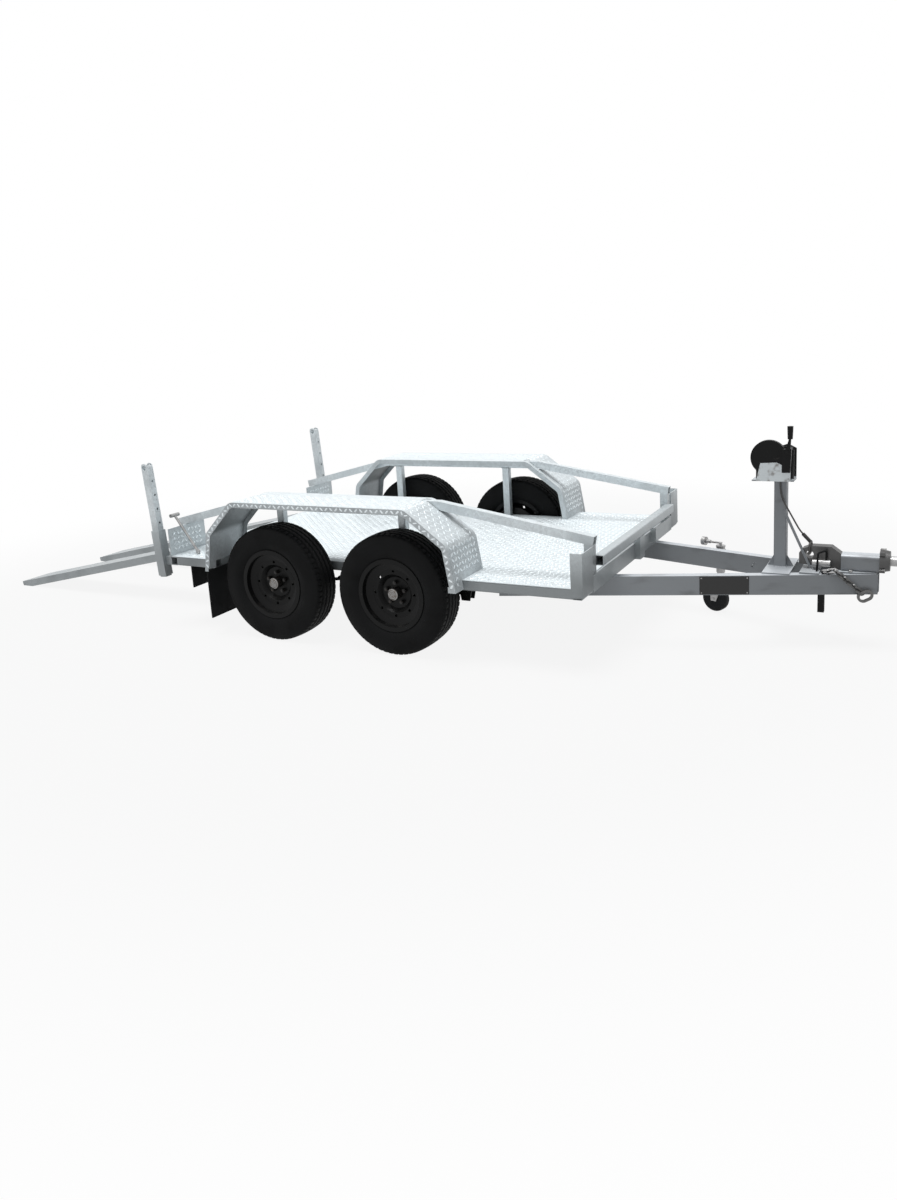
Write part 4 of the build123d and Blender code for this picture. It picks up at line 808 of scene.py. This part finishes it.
def drawbar_welds():
    """Beads round the foot of the winch post and along the drawbar's joint under the coupling."""
    post_x, foot_z = centre("winch_drum").x + 0.051, drawbar_high.z + 0.006
    beads = weld_square((post_x, 0, foot_z), winch_post_half)
    nose_x, inset = drawbar_high.x, 0.004
    beads.append(weld_bead((nose_x, 0, drawbar_low.z + inset), (nose_x, 0, drawbar_high.z - inset)))
    points, faces = joined(beads)
    piece("drawbar_welds", points, faces, "painted_drawbar", chassis, smooth=True)


def fixings():
    """Bolts that hold the winch, the coupling, the jockey wheel's bracket, the flaps and the sign."""
    up = (0, 0, 1)
    winch_x, winch_z = centre("winch_frame").x, winch_seat + 0.004
    seats = [((winch_x + dx, dy, winch_z), up) for dx in (-0.07, 0.065) for dy in (-0.025, 0.025)]
    plate_rear, plate_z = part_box("coupling_body")[0].x, drawbar_high.z + 0.008
    seats += [((plate_rear + dx, dy, plate_z), up) for dx in (0.02, 0.085) for dy in (-0.051, 0.051)]
    bracket_face = np.array(centre("jack_bracket")) + drawbar_normal * 0.003
    seats += [(bracket_face + drawbar_along * dx + (0, 0, dz), drawbar_normal)
              for dx in (-0.038, 0.038) for dz in (-0.034, 0.034)]
    points, faces = bolt_heads(seats)
    piece("bolts", points, faces, "cast_zinc", chassis)
    flap_seats = []
    for _, side in sides:
        for dy in (-0.075, 0, 0.075):
            flap_seats.append(((guard_low.x, side * (0.82 + dy), guard_low.z - 0.02), (-1, 0, 0)))
            flap_seats.append(((guard_low.x - 0.215, side * (0.735 + dy), frame_bottom - 0.018), (-1, 0, 0)))
    points, faces = bolt_heads(flap_seats, 0.013, 0.005, 0.0022)
    piece("flap_bolts", points, faces, "cast_zinc", chassis)
    outward = drawbar_normal * (1, -1, 1)
    along = drawbar_along * (1, -1, 1)
    sign_face_middle = np.array(centre("sign_panel")) + outward * 0.001
    rivet = ((0, 0), (0, 0.0035), (0.0012, 0.0030), (0.0018, 0))
    points, faces = joined([turned(rivet, sign_face_middle + along * dx + (0, 0, dz), outward, 12)
                            for dx in (-0.110, 0.110) for dz in (-0.038, 0.038)])
    piece("sign_rivets", points, faces, "cast_zinc", chassis)


def set_stage():
    """Pale floor that keeps the shadow and is white further out, with a soft sun and a white sky."""
    mesh = bpy.data.meshes.new("floor")
    reach = 60
    mesh.from_pydata([(-reach, -reach, 0), (reach, -reach, 0), (reach, reach, 0), (-reach, reach, 0)], [],
                     [(0, 1, 2, 3)])
    floor = bpy.data.objects.new("floor", mesh)
    bpy.context.collection.objects.link(floor)
    ground = Finish("floor")
    distance = ground.node("ShaderNodeVectorMath", {"operation": "LENGTH"}, {0: ground.place}, "Value")
    white = ground.node("ShaderNodeEmission", {}, {"Color": (1, 1, 1, 1), "Strength": 1.0})
    matt = ground.node("ShaderNodeBsdfDiffuse", {}, {"Color": grey(0.44)})
    white_near, shadow_full, shadow_none = 0.89, 2.5, 5.0
    factor = ground.seen() * (white_near + (1 - white_near) * ground.rise(distance, shadow_full, shadow_none))
    shown = ground.node("ShaderNodeMixShader", {}, {0: factor, 1: matt, 2: white})
    ground.put(ground.tree.nodes["Material Output"].inputs["Surface"], shown)
    mesh.materials.append(ground.material)

    world = bpy.data.worlds.new("sky")
    bpy.context.scene.world = world
    world.use_nodes = True
    sky = Nodes(world.node_tree)
    lit = sky.node("ShaderNodeBackground", {}, {"Color": (0.96, 0.98, 1, 1), "Strength": 0.26})
    white = sky.node("ShaderNodeBackground", {}, {"Color": (1, 1, 1, 1), "Strength": 1.0})
    shown = sky.node("ShaderNodeMixShader", {}, {0: sky.seen(), 1: lit, 2: white})
    sky.put(sky.tree.nodes["World Output"].inputs["Surface"], shown)

    lamp = bpy.data.lights.new("soft_sun", "SUN")
    lamp.energy = 2.6
    lamp.angle = radians(30)
    sun = bpy.data.objects.new("soft_sun", lamp)
    sun.rotation_euler = (radians(5), radians(-6), 0)
    bpy.context.collection.objects.link(sun)


set_camera()
dress_nodes()
for place in wheel_places:
    tyre(place)
deck_tread()
for side_name, side in sides:
    guard_tread(side_name, side)
rear_plate_tread()
u_bolts()
brake_shields()
frame_welds()
drawbar_welds()
fixings()
set_stage()
bpy.context.scene.view_settings.view_transform = "Standard"
